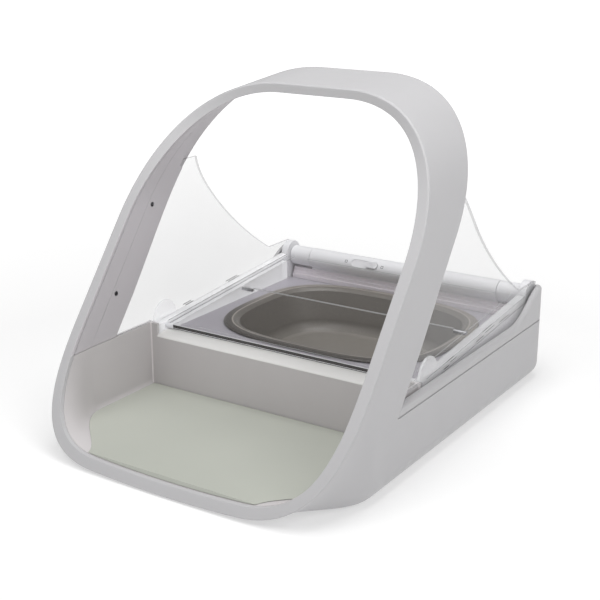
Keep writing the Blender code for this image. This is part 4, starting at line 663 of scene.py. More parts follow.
def looks_inward(face):
    outwards = Vector((face.center.x, 0.0, face.center.z - ARCH_MIDDLE_Z)).normalized()
    return face.center.z > TRAY_TOP_Z and face.normal.dot(outwards) < -INWARD_SHARE


LINING = moulded("lining_abs", LINING_LIT_COLOUR, 0.55)
sections = behind_lip(LINING_INSET, LIP_THICKNESS + GAP)
lining = loft("arch_lining_skin", [*sections, ring_section(LINING_INSET, LINING_DEPTH)])
cut(lining, arch_opening(), below(TRAY_TOP_Z + GAP))
fit(smooth(lining), LINING, "root", "arch_lining")
# Painted light: the housing's inward faces take the lining's paler grey, a lit copy against the shade inside
# the arch.
refinish(housing, LINING, looks_inward)


# Sensors: two dark lenses in each inner wall of the arch, which see the pet's head come through.
# Each is a smoked polycarbonate plug with a domed face, pressed in from the wall's far side.
SENSOR_DOME = 0.0004
SENSOR_TIP = 0.00003
LENS_COLOURS = ((0.015, 0.014, 0.018), (0.030, 0.028, 0.034))

LENS = Finish("smoked_lens")
LENS.set(Base_Color=LENS.blend(LENS.noise(900.0), *LENS_COLOURS), Roughness=0.12)
for side, word in SIDES:
    for height, level in zip(SENSOR_HEIGHTS, ("lower", "upper")):
        dome = []
        for cosine, sine in arc(ROUND_STEPS):
            dome.append((SENSOR_RADIUS * sine + SENSOR_TIP, ARCH_WALL_X - SENSOR_DOME * cosine))
        dome.append((SENSOR_RADIUS, ARCH_WALL_X + SENSOR_LENGTH))
        lens = turned(f"sensor_lens_{level}_{word}", dome, "X", sensor_centre(height), side)
        fit(smooth(lens), LENS, "root", f"pet_sensor_{level}_{word}")


# Front tray: the grey tray on which the pet stands, with its side walls, the step and the rounded ledge.
# It's a separate moulding that drops in behind the lip; its wall is 2.3 mm. The ledge is painted paler, as
# painted light against the arch crown's shadow, and a painted highlight runs where the side walls meet the
# step.
TRAY_WALL = 0.0023
STEP_Y = -0.0383
STEP_TOP_Z = 0.0457
LEDGE_REAR_Y = -0.0240
LEDGE_TOP_Z = 0.0486
LEDGE_STEPS = 24
LEDGE_SHARP_ANGLE = math.radians(12)
PLATE_HALF = 0.1019
TRAY_COLOUR = (0.61, 0.585, 0.59)
LEDGE_LIT_COLOUR = (0.72, 0.715, 0.70)
STEP_CORNER_WIDTH = 0.0008


def tray_trough(name, inset, front_depth):
    """The tray's own hollow or skin: leaning sections run straight back past the step."""
    depths = spread(front_depth, BLEND_DEPTH, DEPTH_STEP)
    depths += spread(BLEND_DEPTH, STEP_Y + TRAY_WALL - FRONT_Y + OVERRUN, 2 * DEPTH_STEP)[1:]
    return loft(name, [trough_section(inset, depth) for depth in depths])


def prism(name, outline, xs):
    """A (Y, Z) outline made solid between two X values."""
    return loft(name, [[(x, y, z) for y, z in outline] for x in xs])


def rounding(centre, reach, steps=CORNER_STEPS, whole=math.pi / 2):
    """Points round part of an oval, from its first direction towards its second."""
    across, up = reach
    return [(centre[0] + across * cosine, centre[1] + up * sine) for cosine, sine in arc(steps, whole)]


def behind(y):
    return block("behind", EVERYWHERE, (y, 1), EVERYWHERE)


TRAY = Finish("tray_abs")
x, y, z = TRAY.axes()
colour = TRAY.mottled(TRAY.noise(35.0, 3.0) * 0.7 + TRAY.noise(2600.0) * 0.3, TRAY_COLOUR, 0.97, 1.03)
# A painted highlight: a thin paler line down the corners where the side walls meet the step.
corner_highlight = (abs(x) > ARCH_WALL_X - STEP_CORNER_WIDTH) * (y > STEP_Y - STEP_CORNER_WIDTH)
colour = TRAY.blend(corner_highlight * (y < STEP_Y + TRAY_WALL), colour, shade(TRAY_COLOUR, 1.35))
# Painted light: the ledge is a lit copy of the tray's grey, paler than the shade that the arch's crown casts
# on it.
on_ledge = (z > STEP_TOP_Z - TRIM) * (y > STEP_Y - TRIM) * (abs(x) < PLATE_HALF)
TRAY.set(Base_Color=TRAY.blend(on_ledge, colour, LEDGE_LIT_COLOUR), Roughness=0.55, Normal=TRAY.grain(0.00002))

tray = tray_trough("front_tray_moulding", LIP_WIDTH - TRAY_WALL, LIP_THICKNESS + GAP)
hollow = cut(tray_trough("tray_hollow", LIP_WIDTH, -OVERRUN), behind(STEP_Y))
cut(tray, hollow, above(TRAY_TOP_Z), behind(STEP_Y + TRAY_WALL))
plate_xs = about(0.0, PLATE_HALF)
step_ys = (STEP_Y - OVERRUN, LEDGE_REAR_Y)
cut(tray, block("over_step", plate_xs, step_ys, (STEP_TOP_Z, TRAY_TOP_Z + OVERRUN)))
brow_reach = (STEP_Y - LEDGE_REAR_Y, LEDGE_TOP_Z - STEP_TOP_Z)
brow = rounding((LEDGE_REAR_Y, STEP_TOP_Z), brow_reach, LEDGE_STEPS)
brow.append((LEDGE_REAR_Y, LEDGE_TOP_Z - TRAY_WALL))
brow += [(y, STEP_TOP_Z - TRAY_WALL) for y in (STEP_Y + TRAY_WALL, STEP_Y)]
join(tray, prism("ledge", brow, plate_xs))
fit(smooth(tray, LEDGE_SHARP_ANGLE), TRAY, "root", "front_tray")


# Front mat: a removable wipe-clean sheet of soft greenish plastic that lies on the tray's floor.
# It's pressed with a rounded edge and a matt, slightly pebbled face.
MAT_TOP_Z = 0.0095
MAT_GAP = 0.0004
MAT_ROUND = 0.0007
MAT_COLOUR = (0.46, 0.475, 0.425)
FLAT_ANGLE = math.radians(0.4)
ARRIS_ANGLE = math.radians(35)


def soften(obj, radius, segments=2):
    """Rounds a piece's sharp edges a little, as a mould's own edges are, and keeps its flats flat."""
    bm = bmesh.new()
    bm.from_mesh(obj.data)
    bmesh.ops.remove_doubles(bm, verts=bm.verts, dist=1e-6)
    bmesh.ops.dissolve_limit(bm, angle_limit=FLAT_ANGLE, verts=bm.verts, edges=bm.edges)
    bm.to_mesh(obj.data)
    bm.free()
    bevel = obj.modifiers.new("bevel", "BEVEL")
    bevel.width = radius
    bevel.segments = segments
    bevel.limit_method = "ANGLE"
    bevel.angle_limit = ARRIS_ANGLE
    bevel.use_clamp_overlap = True
    applied(obj)
    obj.data.shade_smooth()
    obj.modifiers.new("flat_faces", "WEIGHTED_NORMAL")
    return applied(obj)


MAT = Finish("mat_rubber")
pebbles = MAT.bump(MAT.noise(900.0), 0.00004, 0.7)
MAT.set(Base_Color=MAT.mottled(MAT.noise(18.0, 4.0), MAT_COLOUR, 0.96, 1.04), Roughness=0.72, Normal=pebbles)

mat = tray_trough("front_mat_sheet", LIP_WIDTH + MAT_GAP, LIP_THICKNESS + GAP)
cut(mat, above(MAT_TOP_Z), behind(STEP_Y - MAT_GAP))
fit(soften(mat, MAT_ROUND, 3), MAT, "front_mat", "front_mat")


# Deck frame: the upper rim along the sides and the back, moulded in one with the deck inside it.
# The rim is rounded over to the outside and sweeps up into an ear at each rear corner. Behind the
# tube, a slope sheds crumbs towards the rim.
RIM_WIDTH = 0.0040
RIM_ROUND = 0.0030
RIM_Z = 0.0534
RIM_EAR_Z = 0.0725
RIM_REAR_Z = 0.0640
RIM_SWEEP_START_Y = 0.0880
RIM_EAR_Y = 0.1460
RIM_EAR_SPREAD = 0.0170
RIM_STEPS = 8
RIM_STEP = 0.0040
DECK_TOP_Z = 0.0456
DECK_THICKNESS = 0.0030
DECK_FRONT_Y = -0.0237
DECK_OPENING = ((-0.0960, 0.0960), (-0.0190, 0.1340))
SLOPE_FRONT_Y = 0.1512
SLOPE_LOW_Z = 0.0560
SLOPE_TOP_Z = 0.0615
RAIL_OUTER_X = 0.1082
RAIL_INNER_X = 0.1022
RAIL_REAR_Y = 0.1310
CAP_REAR_Y = 0.1508
CAP_TOP_Z = 0.0770


def rim_height(x, y):
    """The rim's top: level along the sides, sweeping up to an ear at each rear corner, lower between them."""
    sweep = smooth_step((y - RIM_SWEEP_START_Y) / (RIM_EAR_Y - RIM_SWEEP_START_Y))
    side_z = mix(RIM_Z, RIM_EAR_Z, sweep**2)
    return mix(side_z, RIM_REAR_Z, smooth_step((HALF_WIDTH - abs(x)) / RIM_EAR_SPREAD))


def rim_path():
    """Plan points with their outward directions, from the right front round the back to the left front."""
    centre_x = HALF_WIDTH - REAR_RADIUS
    centre_y = REAR_Y - REAR_RADIUS
    right = [(HALF_WIDTH, y, (1.0, 0.0)) for y in spread(FRONT_Y + BLEND_DEPTH, centre_y, RIM_STEP)[:-1]]
    for out in arc(REAR_STEPS):
        right.append((centre_x + REAR_RADIUS * out[0], centre_y + REAR_RADIUS * out[1], out))
    right += [(x, REAR_Y, (0.0, 1.0)) for x in spread(0.0, centre_x, RIM_STEP)[::-1][1:-1]]
    return right + [(-x, y, (-out[0], out[1])) for x, y, out in right[::-1]]


def rim_profile(top):
    """The rim's cross-section as (distance in from the outside, height)."""
    low = SEAM_Z + GAP
    edge = SEAM_GROOVE / 2
    over = rounding((RIM_ROUND, top - RIM_ROUND), (-RIM_ROUND, RIM_ROUND), RIM_STEPS)
    inside = [(RIM_WIDTH - edge, top), (RIM_WIDTH, top - edge), (RIM_WIDTH, low)]
    return [(SEAM_GROOVE, low), (0.0, low + SEAM_GROOVE), *over, *inside]


rim_sections = []
for x, y, out in rim_path():
    profile = rim_profile(rim_height(x, y))
    rim_sections.append([(x - out[0] * inward, y - out[1] * inward, z) for inward, z in profile])
deck = loft("deck_frame_moulding", rim_sections)

reach = HALF_WIDTH - WALL - GAP
rear = REAR_Y - WALL - GAP
radius = REAR_RADIUS - WALL - GAP
deck_low = DECK_TOP_Z - DECK_THICKNESS
outline = [(reach, DECK_FRONT_Y), *rounding((reach - radius, rear - radius), (radius, radius), REAR_STEPS)]
outline += [(-x, y) for x, y in outline[::-1]]
plate = loft("deck_plate", [[(x, y, z) for x, y in outline] for z in (deck_low, DECK_TOP_Z)])
shelf = RIM_WIDTH - WALL
for side in (-1, 1):
    flange = (span(side, reach - 2 * shelf, reach), (DECK_FRONT_Y, REAR_Y - REAR_RADIUS))
    join(plate, block("deck_flange", *flange, (deck_low, SEAM_Z + GAP + shelf)))
cut(plate, block("deck_opening", *DECK_OPENING, (deck_low - OVERRUN, DECK_TOP_Z + OVERRUN)))

slope_rear = REAR_Y - RIM_WIDTH + RIM_ROUND / 2
slope = [(SLOPE_FRONT_Y, deck_low), (SLOPE_FRONT_Y, SLOPE_LOW_Z), (slope_rear, SLOPE_TOP_Z)]
slope += [(slope_rear, SEAM_Z + GAP), (rear, SEAM_Z + GAP), (rear, deck_low)]
join(deck, plate, prism("rear_shelf", slope, about(0.0, HALF_WIDTH - REAR_RADIUS)))
cut(deck, loft("arch_room", [ring_section(-OVERRUN, depth) for depth in (-OVERRUN, ARCH_DEPTH + GAP)]))
for side in (-1, 1):
    room = (span(side, RAIL_INNER_X - GAP, RAIL_OUTER_X + GAP), (RAIL_REAR_Y, CAP_REAR_Y + GAP))
    cut(deck, block("cap_room", *room, (DECK_TOP_Z, CAP_TOP_Z + OVERRUN)))
fit(smooth(deck), SHELL, "root", "deck_frame")


# Bowl tray: the pale lavender plate that drops onto the deck, with the well in which the bowl hangs.
# Thin moulded plastic, its well following the bowl's outside a millimetre away.
BOWL_HALF_X = 0.0895
BOWL_CENTRE_Y = 0.06245
BOWL_HALF_Y = 0.07295
BOWL_POWER = 3.2
BOWL_RIM_Z = 0.0494
BOWL_RIM_WIDTH = 0.0085
BOWL_RIM_LIP = 0.0022
BOWL_BEAD_SHARE = 0.6
BOWL_DEPTH = 0.0330
BOWL_WALL = 0.0020
BOWL_DRAFT = 0.0060
BOWL_RADIUS = 0.0100
BOWL_SIDES = 144
PLATE_TOP_Z = 0.0470
PLATE_REAR_Y = 0.1366
WELL_GAP = 0.0010
WELL_WALL = 0.0015
LAVENDER_COLOUR = (0.39, 0.372, 0.41)


def bowl_ring(inset, z):
    """A rounded oblong round the bowl's middle, drawn in by inset."""
    points = []
    for cosine, sine in arc(BOWL_SIDES, math.tau)[:-1]:
        size = (abs(cosine) ** BOWL_POWER + abs(sine) ** BOWL_POWER) ** (-1 / BOWL_POWER)
        y = BOWL_CENTRE_Y + (BOWL_HALF_Y - inset) * sine * size
        points.append(((BOWL_HALF_X - inset) * cosine * size, y, z))
    return points


def bowl_wall_rings(clearance, low, high):
    """The outside of the bowl's wall from the floor's edge up to under the rim."""
    rings = []
    foot_inset = BOWL_RIM_WIDTH + BOWL_DRAFT - clearance
    for cosine, sine in arc(2 * ROUND_STEPS):
        inset = foot_inset + BOWL_RADIUS * (1 - sine)
        rings.append(bowl_ring(inset, low + BOWL_RADIUS * (1 - cosine)))
    for share in (0.25, 0.5, 0.75, 1.0):
        inset = BOWL_RIM_WIDTH - clearance + BOWL_DRAFT * (1 - share)
        rings.append(bowl_ring(inset, mix(low + BOWL_RADIUS, high, share)))
    return rings


LAVENDER = moulded("bowl_tray_plastic", LAVENDER_COLOUR, 0.42, 0.00001)
plate_ys = (LEDGE_REAR_Y + GAP, PLATE_REAR_Y)
bowl_tray = block("bowl_tray_plate", plate_xs, plate_ys, (DECK_TOP_Z + GAP, PLATE_TOP_Z))
well_floor = BOWL_RIM_Z - BOWL_DEPTH - BOWL_WALL - GAP
well = bowl_wall_rings(WELL_GAP + WELL_WALL, well_floor - WELL_WALL, DECK_TOP_Z + GAP)
well.append(bowl_ring(BOWL_RIM_WIDTH - WELL_GAP - WELL_WALL, PLATE_TOP_Z - GAP))
join(bowl_tray, loft("well_skin", well))
hollow = bowl_wall_rings(WELL_GAP, well_floor, DECK_TOP_Z + GAP)
hollow.append(bowl_ring(BOWL_RIM_WIDTH - WELL_GAP, PLATE_TOP_Z + OVERRUN))
cut(bowl_tray, loft("well_hollow", hollow))
fit(smooth(bowl_tray), LAVENDER, "root", "bowl_tray")


# Bowl: a dark warm-grey melamine bowl with a flat rim rolled at both edges, which hangs by its rim.
# Pressed in one piece, with a smooth half-gloss and a fine pale fleck.
BOWL_COLOUR = (0.150, 0.138, 0.122)
BOWL_RIM_LIT_COLOUR = (0.235, 0.215, 0.190)
BOWL_FLOOR_LIT_COLOUR = (0.21, 0.195, 0.175)
BOWL_FRONT_SHADE_COLOUR = (0.050, 0.043, 0.038)
BOWL_RIM_BAND = (0.935, 0.992)
BOWL_RIM_EDGE = 0.930
BOWL_HIGHLIGHT_WIDTH = 0.006
BOWL_SHADE_Y = (0.075, 0.025)

BOWL = Finish("bowl_melamine")
x, y, z = BOWL.axes()
fleck = BOWL.noise(1500.0) ** 6 * 2.5
along = abs((y - BOWL_CENTRE_Y) / BOWL_HALF_Y) ** BOWL_POWER
ring = (abs(x / BOWL_HALF_X) ** BOWL_POWER + along) ** (1 / BOWL_POWER)
top = z > BOWL_RIM_Z - BOWL_RIM_LIP
on_rim = top * (ring > BOWL_RIM_BAND[0]) * (ring < BOWL_RIM_BAND[1])
on_floor = z < BOWL_RIM_Z - BOWL_DEPTH + BOWL_RADIUS / 8
# The rim's flat band is painted paler than the bowl's grey, as painted light on its upturned face.
colour = BOWL.blend(on_rim, BOWL_COLOUR, BOWL_RIM_LIT_COLOUR)
# Painted shade: the rim's outer part darkens towards the front.
colour = BOWL.blend(BOWL.ramp(y, *BOWL_SHADE_Y) * (ring > BOWL_RIM_EDGE), colour, BOWL_FRONT_SHADE_COLOUR)
# A painted highlight along the rim's inner edge.
colour = BOWL.blend(top * (abs(ring - BOWL_RIM_EDGE) < BOWL_HIGHLIGHT_WIDTH), colour, shade(BOWL_RIM_LIT_COLOUR, 1.5))
# The floor is painted paler than the walls, as painted light on its upturned face.
colour = BOWL.blend(on_floor, colour, BOWL_FLOOR_LIT_COLOUR)
colour = BOWL.blend(fleck, colour, shade(BOWL_RIM_LIT_COLOUR, 1.4))
gloss = BOWL.noise(60.0, 3.0) * 0.12 + 0.30
BOWL.set(Base_Color=colour, Roughness=gloss, Normal=BOWL.bump(BOWL.noise(300.0), 0.00002))

bead_z = BOWL_RIM_Z - BOWL_RIM_LIP * BOWL_BEAD_SHARE
rim = [bowl_ring(BOWL_RIM_LIP / 4, BOWL_RIM_Z - BOWL_RIM_LIP)]
for cosine, sine in arc(ROUND_STEPS):
    rim.append(bowl_ring(BOWL_RIM_LIP * (1 - cosine), mix(bead_z, BOWL_RIM_Z, sine)))
rim.append(bowl_ring(BOWL_RIM_WIDTH - BOWL_RIM_LIP, BOWL_RIM_Z))
rim.append(bowl_ring(BOWL_RIM_WIDTH - BOWL_RIM_LIP / 2, BOWL_RIM_Z - BOWL_RIM_LIP / 16))
rim.append(bowl_ring(BOWL_RIM_WIDTH, BOWL_RIM_Z - BOWL_RIM_LIP / 4))
bowl_floor = BOWL_RIM_Z - BOWL_DEPTH
outside = bowl_wall_rings(0.0, bowl_floor - BOWL_WALL, BOWL_RIM_Z - BOWL_RIM_LIP)
inside = bowl_wall_rings(-BOWL_WALL, bowl_floor, BOWL_RIM_Z - BOWL_RIM_LIP)[::-1]
fit(smooth(loft("food_bowl", outside + rim + inside)), BOWL, "root", "bowl")


# Tube: a white tube across the back that houses the lid's gear motor, on a three-stepped plinth in the
# tray's pale mauve, painted paler still as painted light against the tube's shadow. A switch slides in a
# shallow rounded recess in its upper front, between two small printed squares.
LID_AXIS_Y = 0.1425
LID_AXIS_Z = 0.0650
TUBE_RADIUS = 0.0080
BORE_RADIUS = 0.0065
TUBE_HALF = 0.0831
TUBE_EDGE = 0.0004
TUBE_EDGE_STEPS = 3
TUBE_SIDES = 96
PLINTH_FRONT_Y = 0.1369
PLINTH_REAR_Y = 0.1485
PLINTH_HALF = 0.1009
PLINTH_TOP_Z = 0.0556
PLINTH_STEPS = 3
PLINTH_STEP = 0.0013
PLINTH_RISE = 0.0026
TUBE_WEB_HALF = 0.0025
SWITCH_ANGLE = math.radians(30)
SWITCH_LENGTH = 0.0240
SWITCH_WIDTH = 0.0060
SWITCH_DEPTH = 0.0009
SWITCH_X = -0.0310
MARK_XS = (-0.0480, -0.0150)
MARK_HALF = 0.0011
MARK_LINE = 0.0004
WHITE_COLOUR = (0.82, 0.82, 0.84)
MARK_COLOUR = (0.20, 0.20, 0.21)
PLINTH_LIT_COLOUR = (0.80, 0.75, 0.79)


def on_switch(x):
    """Where the switch's own axes lie: out of the tube's upper front, at a place along it."""
    turn = Matrix.Rotation(math.pi / 2 - SWITCH_ANGLE, 4, "X")
    return Matrix.Translation((x, LID_AXIS_Y, LID_AXIS_Z)) @ turn


def switch_block(name, length, width, x, low, high, flare=0.0):
    """A round-ended block that stands out of the tube's upper front."""
    sections = []
    for z, reach in ((low, width / 2), (high, width / 2 + flare)):
        section = []
        for end in (1, -1):
            for cosine, sine in arc(CORNER_STEPS // 2, math.pi):
                section.append((end * ((length - width) / 2 + reach * sine), -end * reach * cosine, z))
        sections.append(section)
    bm = skinned(sections)
    bm.transform(on_switch(x))
    return mesh_object(bm, name)


def tube_profile(radius, half_length):
    """Half a turned bar's outline, its end rounded, and the other half mirrored."""
    end = []
    for cosine, sine in arc(TUBE_EDGE_STEPS):
        end.append((radius - TUBE_EDGE * (1 - sine), -half_length + TUBE_EDGE * (1 - cosine)))
    return end + [(r, -along) for r, along in end[::-1]]


TUBE = Finish("tube_abs")
x, y, z = TUBE.axes()
colour = TUBE.mottled(TUBE.noise(40.0, 3.0), WHITE_COLOUR, 0.975, 1.02)
across = (z - LID_AXIS_Z) * math.cos(SWITCH_ANGLE) + (y - LID_AXIS_Y) * math.sin(SWITCH_ANGLE)
outward = (z - LID_AXIS_Z) * math.sin(SWITCH_ANGLE) - (y - LID_AXIS_Y) * math.cos(SWITCH_ANGLE)
printed = 0.0
for mark_x in MARK_XS:
    off_centre = TUBE.maths("MAXIMUM", abs(x - mark_x), abs(across))
    printed = (off_centre < MARK_HALF) * (off_centre > MARK_HALF - MARK_LINE) + printed
colour = TUBE.blend(printed * (outward > TUBE_RADIUS / 2), colour, MARK_COLOUR)
# The plinth is mauve, painted paler as painted light to offset the shadow under the tube.
colour = TUBE.blend(z < PLINTH_TOP_Z + GAP, colour, PLINTH_LIT_COLOUR)
TUBE.set(Base_Color=colour, Roughness=0.38, Normal=TUBE.grain(0.00001, 0.5))

axis_centre = (0.0, LID_AXIS_Y, LID_AXIS_Z)
tube = turned("drive_tube", tube_profile(TUBE_RADIUS, TUBE_HALF), "X", axis_centre, sides=TUBE_SIDES)
web = (about(0.0, TUBE_HALF), about(LID_AXIS_Y, TUBE_WEB_HALF))
steps = [(PLINTH_FRONT_Y, DECK_TOP_Z + GAP)]
for step in range(PLINTH_STEPS):
    z = PLINTH_TOP_Z - PLINTH_RISE * (PLINTH_STEPS - 1 - step)
    steps += [(PLINTH_FRONT_Y + PLINTH_STEP * edge, z) for edge in (step, step + 1)]
steps = steps[:-1] + [(PLINTH_REAR_Y, PLINTH_TOP_Z), (PLINTH_REAR_Y, DECK_TOP_Z + GAP)]
plinth = soften(prism("plinth", steps, about(0.0, PLINTH_HALF)), TUBE_EDGE)
join(tube, block("web", *web, (PLINTH_TOP_Z - GAP, LID_AXIS_Z - BORE_RADIUS)), plinth)
ends = about(0.0, TUBE_HALF + OVERRUN)
recess = (SWITCH_LENGTH, SWITCH_WIDTH, SWITCH_X, *about(TUBE_RADIUS, SWITCH_DEPTH))
bore = rod("bore", BORE_RADIUS, ends, "X", axis_centre, sides=TUBE_SIDES)
cut(tube, bore, switch_block("recess", *recess, TUBE_EDGE))
fit(smooth(tube), TUBE, "root", "tube_housing")


# Delay slider: the little ribbed thumb switch in the tube's recess that sets how fast the lid closes.
# A white acetal pad with round ends; its ribs are moulded across the travel.
SLIDER_LENGTH = 0.0104
SLIDER_STANDOUT = 0.0010
SLIDER_RIBS = 5
SLIDER_RIB = 0.0005
SLIDER_RIB_SHARE = 0.9

WHITE = moulded("white_abs", WHITE_COLOUR, 0.38, 0.00001)
slider_width = SWITCH_WIDTH - 2 * GAP
slider_x = SWITCH_X + (SWITCH_LENGTH - SLIDER_LENGTH) / 2 - GAP
slider_low = TUBE_RADIUS - SWITCH_DEPTH + GAP
slider_high = TUBE_RADIUS + SLIDER_STANDOUT
slider = switch_block("delay_slider_pad", SLIDER_LENGTH, slider_width, slider_x, slider_low, slider_high)
soften(slider, GAP)
pitch = (SLIDER_LENGTH - slider_width) / (SLIDER_RIBS - 1)
quarter_turn = on_switch(0.0) @ Matrix.Rotation(math.pi / 2, 4, "Z") @ on_switch(0.0).inverted()
for index in range(SLIDER_RIBS):
    rib_size = (slider_width * SLIDER_RIB_SHARE, pitch / 2)
    rib = switch_block("rib", *rib_size, 0.0, *about(slider_high, SLIDER_RIB))
    x = slider_x + pitch * (index - (SLIDER_RIBS - 1) / 2)
    rib.data.transform(Matrix.Translation((x, 0.0, 0.0)) @ quarter_turn)
    join(slider, rib)
fit(smooth(slider), WHITE, "delay_slider", "delay_slider")


# Lid barrels: the turning end sections of the tube, keyed to the shaft, that lift the lid.
# White, a hair slimmer than the tube, with a fine joint line between the two.
BARREL_RADIUS = 0.0078
BARREL_END_X = 0.1019
SHAFT_RADIUS = 0.0020

for side, word in SIDES:
    start = TUBE_HALF + GAP
    length = (BARREL_END_X - start) / 2
    middle = (side * (start + length), LID_AXIS_Y, LID_AXIS_Z)
    barrel = turned(f"barrel_{word}", tube_profile(BARREL_RADIUS, length), "X", middle, sides=TUBE_SIDES)
    cut(barrel, rod("barrel_bore", SHAFT_RADIUS + GAP, about(0.0, length + OVERRUN), "X", middle))
    fit(smooth(barrel), WHITE, "lid_rear", f"lid_barrel_{word}")


# Tube caps: the white blocks that hold the tube's ends and carry the shaft.
# Each stands in a socket of the deck; its top is half round and its edges are broken.
CAP_EDGE = 0.0006
SHAFT_END_X = 0.1062

for side, word in SIDES:
    front = RAIL_REAR_Y + GAP
    radius = (CAP_REAR_Y - front) / 2
    outline = [(front, DECK_TOP_Z + GAP), (CAP_REAR_Y, DECK_TOP_Z + GAP)]
    outline += rounding(((CAP_REAR_Y + front) / 2, CAP_TOP_Z - radius), (radius, radius), whole=math.pi)
    cap = soften(prism(f"end_cap_{word}", outline, span(side, RAIL_INNER_X, RAIL_OUTER_X)), CAP_EDGE, 3)
    ends = (RAIL_INNER_X - OVERRUN, SHAFT_END_X + GAP)
    cut(cap, rod("cap_bore", SHAFT_RADIUS + GAP, ends, "X", axis_centre, side))
    fit(smooth(cap), WHITE, "root", f"tube_cap_{word}")


# Side rails: clear polycarbonate channels along the bowl in which the lid's front pegs slide.
# Each snaps into the deck and ends at the front in a rounded tab over the peg. The snaps and the
# slot show as short dark gaps and thin lines.
RAIL_WALL = 0.0016
RAIL_FRONT_Y = -0.0354
RAIL_FLANGE = 0.0018
RAIL_SLOT_PLAY = 0.0004
RAIL_TAB_RADIUS = 0.0125
RAIL_TAB = (-0.0225, 0.0560)
PEG_RADIUS = 0.0018
LID_FRONT_Y = -0.0250
LID_FRONT_Z = 0.0508
LID_SLOPE = math.atan2(LID_AXIS_Z - LID_FRONT_Z, LID_AXIS_Y - LID_FRONT_Y)
LID_REACH = math.hypot(LID_AXIS_Z - LID_FRONT_Z, LID_AXIS_Y - LID_FRONT_Y)
CLEAR_TINT = (0.88, 0.88, 0.89)
CLEAR_EDGE_TINT = (0.90, 0.91, 0.92)
CLEAR_ROUND = 0.0003
# A painted glow on the rails' rounded edges.
CLEAR_GLOW = 0.18
FLAT_SHARE = 0.985
# The third look of each rail is a painted glow, stronger on the left rail than on the right.
RAIL_LOOKS = {"left": (0.45, 0.65, 0.30), "right": (0.38, 0.56, 0.10)}
CLIP_GAP = 0.0004
SLOT_LINE = 0.00018
CLIP_COLOUR = (0.05, 0.05, 0.05)
RAIL_MARK_SPANS = ((-0.0005, 0.0070), (0.0480, 0.0600), (0.0860, 0.1020))


def clip_marks(finish, marks):
    """1 along the short dark gaps of the clips, each a piece of a line in Y and Z, and 0 elsewhere."""
    x, y, z = finish.axes()
    total = 0.0
    for start, end, half_width in marks:
        rise = (end[1] - start[1]) / (end[0] - start[0])
        on_line = abs(z - (y - start[0]) * rise - start[1]) < half_width
        total = on_line * (abs(y - (start[0] + end[0]) / 2) < (end[0] - start[0]) / 2) + total
    return total


def clear_finish(name, tint, thin, edge_on, glow=0.0, marks=()):
    """Clear polycarbonate: nearly unseen face on, more solid where it's seen along its surface."""
    finish = Finish(name)
    haze = finish.noise(30.0, 4.0)
    facing = finish.node("ShaderNodeLayerWeight", None, {"Blend": 0.5}, 1)
    alpha = facing**6 * (edge_on - thin) + thin + haze * (thin * 0.3)
    colour = finish.mottled(haze, tint, 0.98)
    if marks:
        gaps = clip_marks(finish, marks)
        colour = finish.blend(gaps, colour, CLIP_COLOUR)
        alpha = gaps * 0.6 + alpha
    # Painted light: the glow makes the clear part give off light of its own, so that it reads whiter.
    finish.set(Emission_Color=colour, Emission_Strength=glow, Alpha=alpha, IOR=1.58)
    return finish.set(Base_Color=colour, Roughness=finish.noise(12.0) * 0.04 + 0.05)


def lid_line(y, above_line=0.0):
    """A (Y, Z) point over the straight line that the lid's pegs run along."""
    return y, LID_AXIS_Z - (LID_AXIS_Y - y) * math.tan(LID_SLOPE) + above_line


def rounded(face):
    """Whether a face belongs to a piece's rounded edge rather than to one of its flats."""
    slope = Vector((0.0, math.cos(LID_SLOPE), math.sin(LID_SLOPE)))
    across = Vector((0.0, -math.sin(LID_SLOPE), math.cos(LID_SLOPE)))
    shares = [abs(face.normal.dot(way)) for way in (slope, across)]
    return max(abs(face.normal.x), *shares) < FLAT_SHARE


rail_marks = [(lid_line(start), lid_line(end), CLIP_GAP) for start, end in RAIL_MARK_SPANS]
for edge in (-PEG_RADIUS, PEG_RADIUS + RAIL_FLANGE):
    rail_marks.append((lid_line(LID_FRONT_Y, edge), lid_line(RAIL_REAR_Y, edge), SLOT_LINE))
CLEAR_EDGE = clear_finish("clear_polycarbonate_edge", CLEAR_EDGE_TINT, 0.50, 0.75, CLEAR_GLOW)
for side, word in SIDES:
    low = DECK_TOP_Z + GAP
    play = PEG_RADIUS + RAIL_SLOT_PLAY
    outline = [(RAIL_FRONT_Y, low), (RAIL_REAR_Y, low)]
    outline += [lid_line(y, play + RAIL_FLANGE) for y in (RAIL_REAR_Y, RAIL_FRONT_Y)]
    rail = prism(f"peg_rail_{word}", outline, span(side, RAIL_INNER_X, RAIL_OUTER_X))
    tab = rounding(RAIL_TAB, (RAIL_TAB_RADIUS, RAIL_TAB_RADIUS), whole=math.pi)
    tab = [(tab[0][0], low + GAP), *tab, (tab[-1][0], low + GAP)]
    join(rail, prism("tab", tab, span(side, RAIL_OUTER_X - RAIL_WALL, RAIL_OUTER_X)))
    front = LID_FRONT_Y - 2 * PEG_RADIUS
    rear = RAIL_REAR_Y + OVERRUN
    slot = [lid_line(y, edge) for y, edge in ((front, -play), (rear, -play), (rear, play), (front, play))]
    cut(rail, prism("slot", slot, span(side, RAIL_INNER_X - OVERRUN, RAIL_OUTER_X - RAIL_WALL)))
    clear = clear_finish(f"clear_rail_{word}", CLEAR_TINT, *RAIL_LOOKS[word], rail_marks)
    fit(soften(rail, CLEAR_ROUND), clear, "root", f"side_rail_{word}")
    refinish(rail, CLEAR_EDGE, rounded)


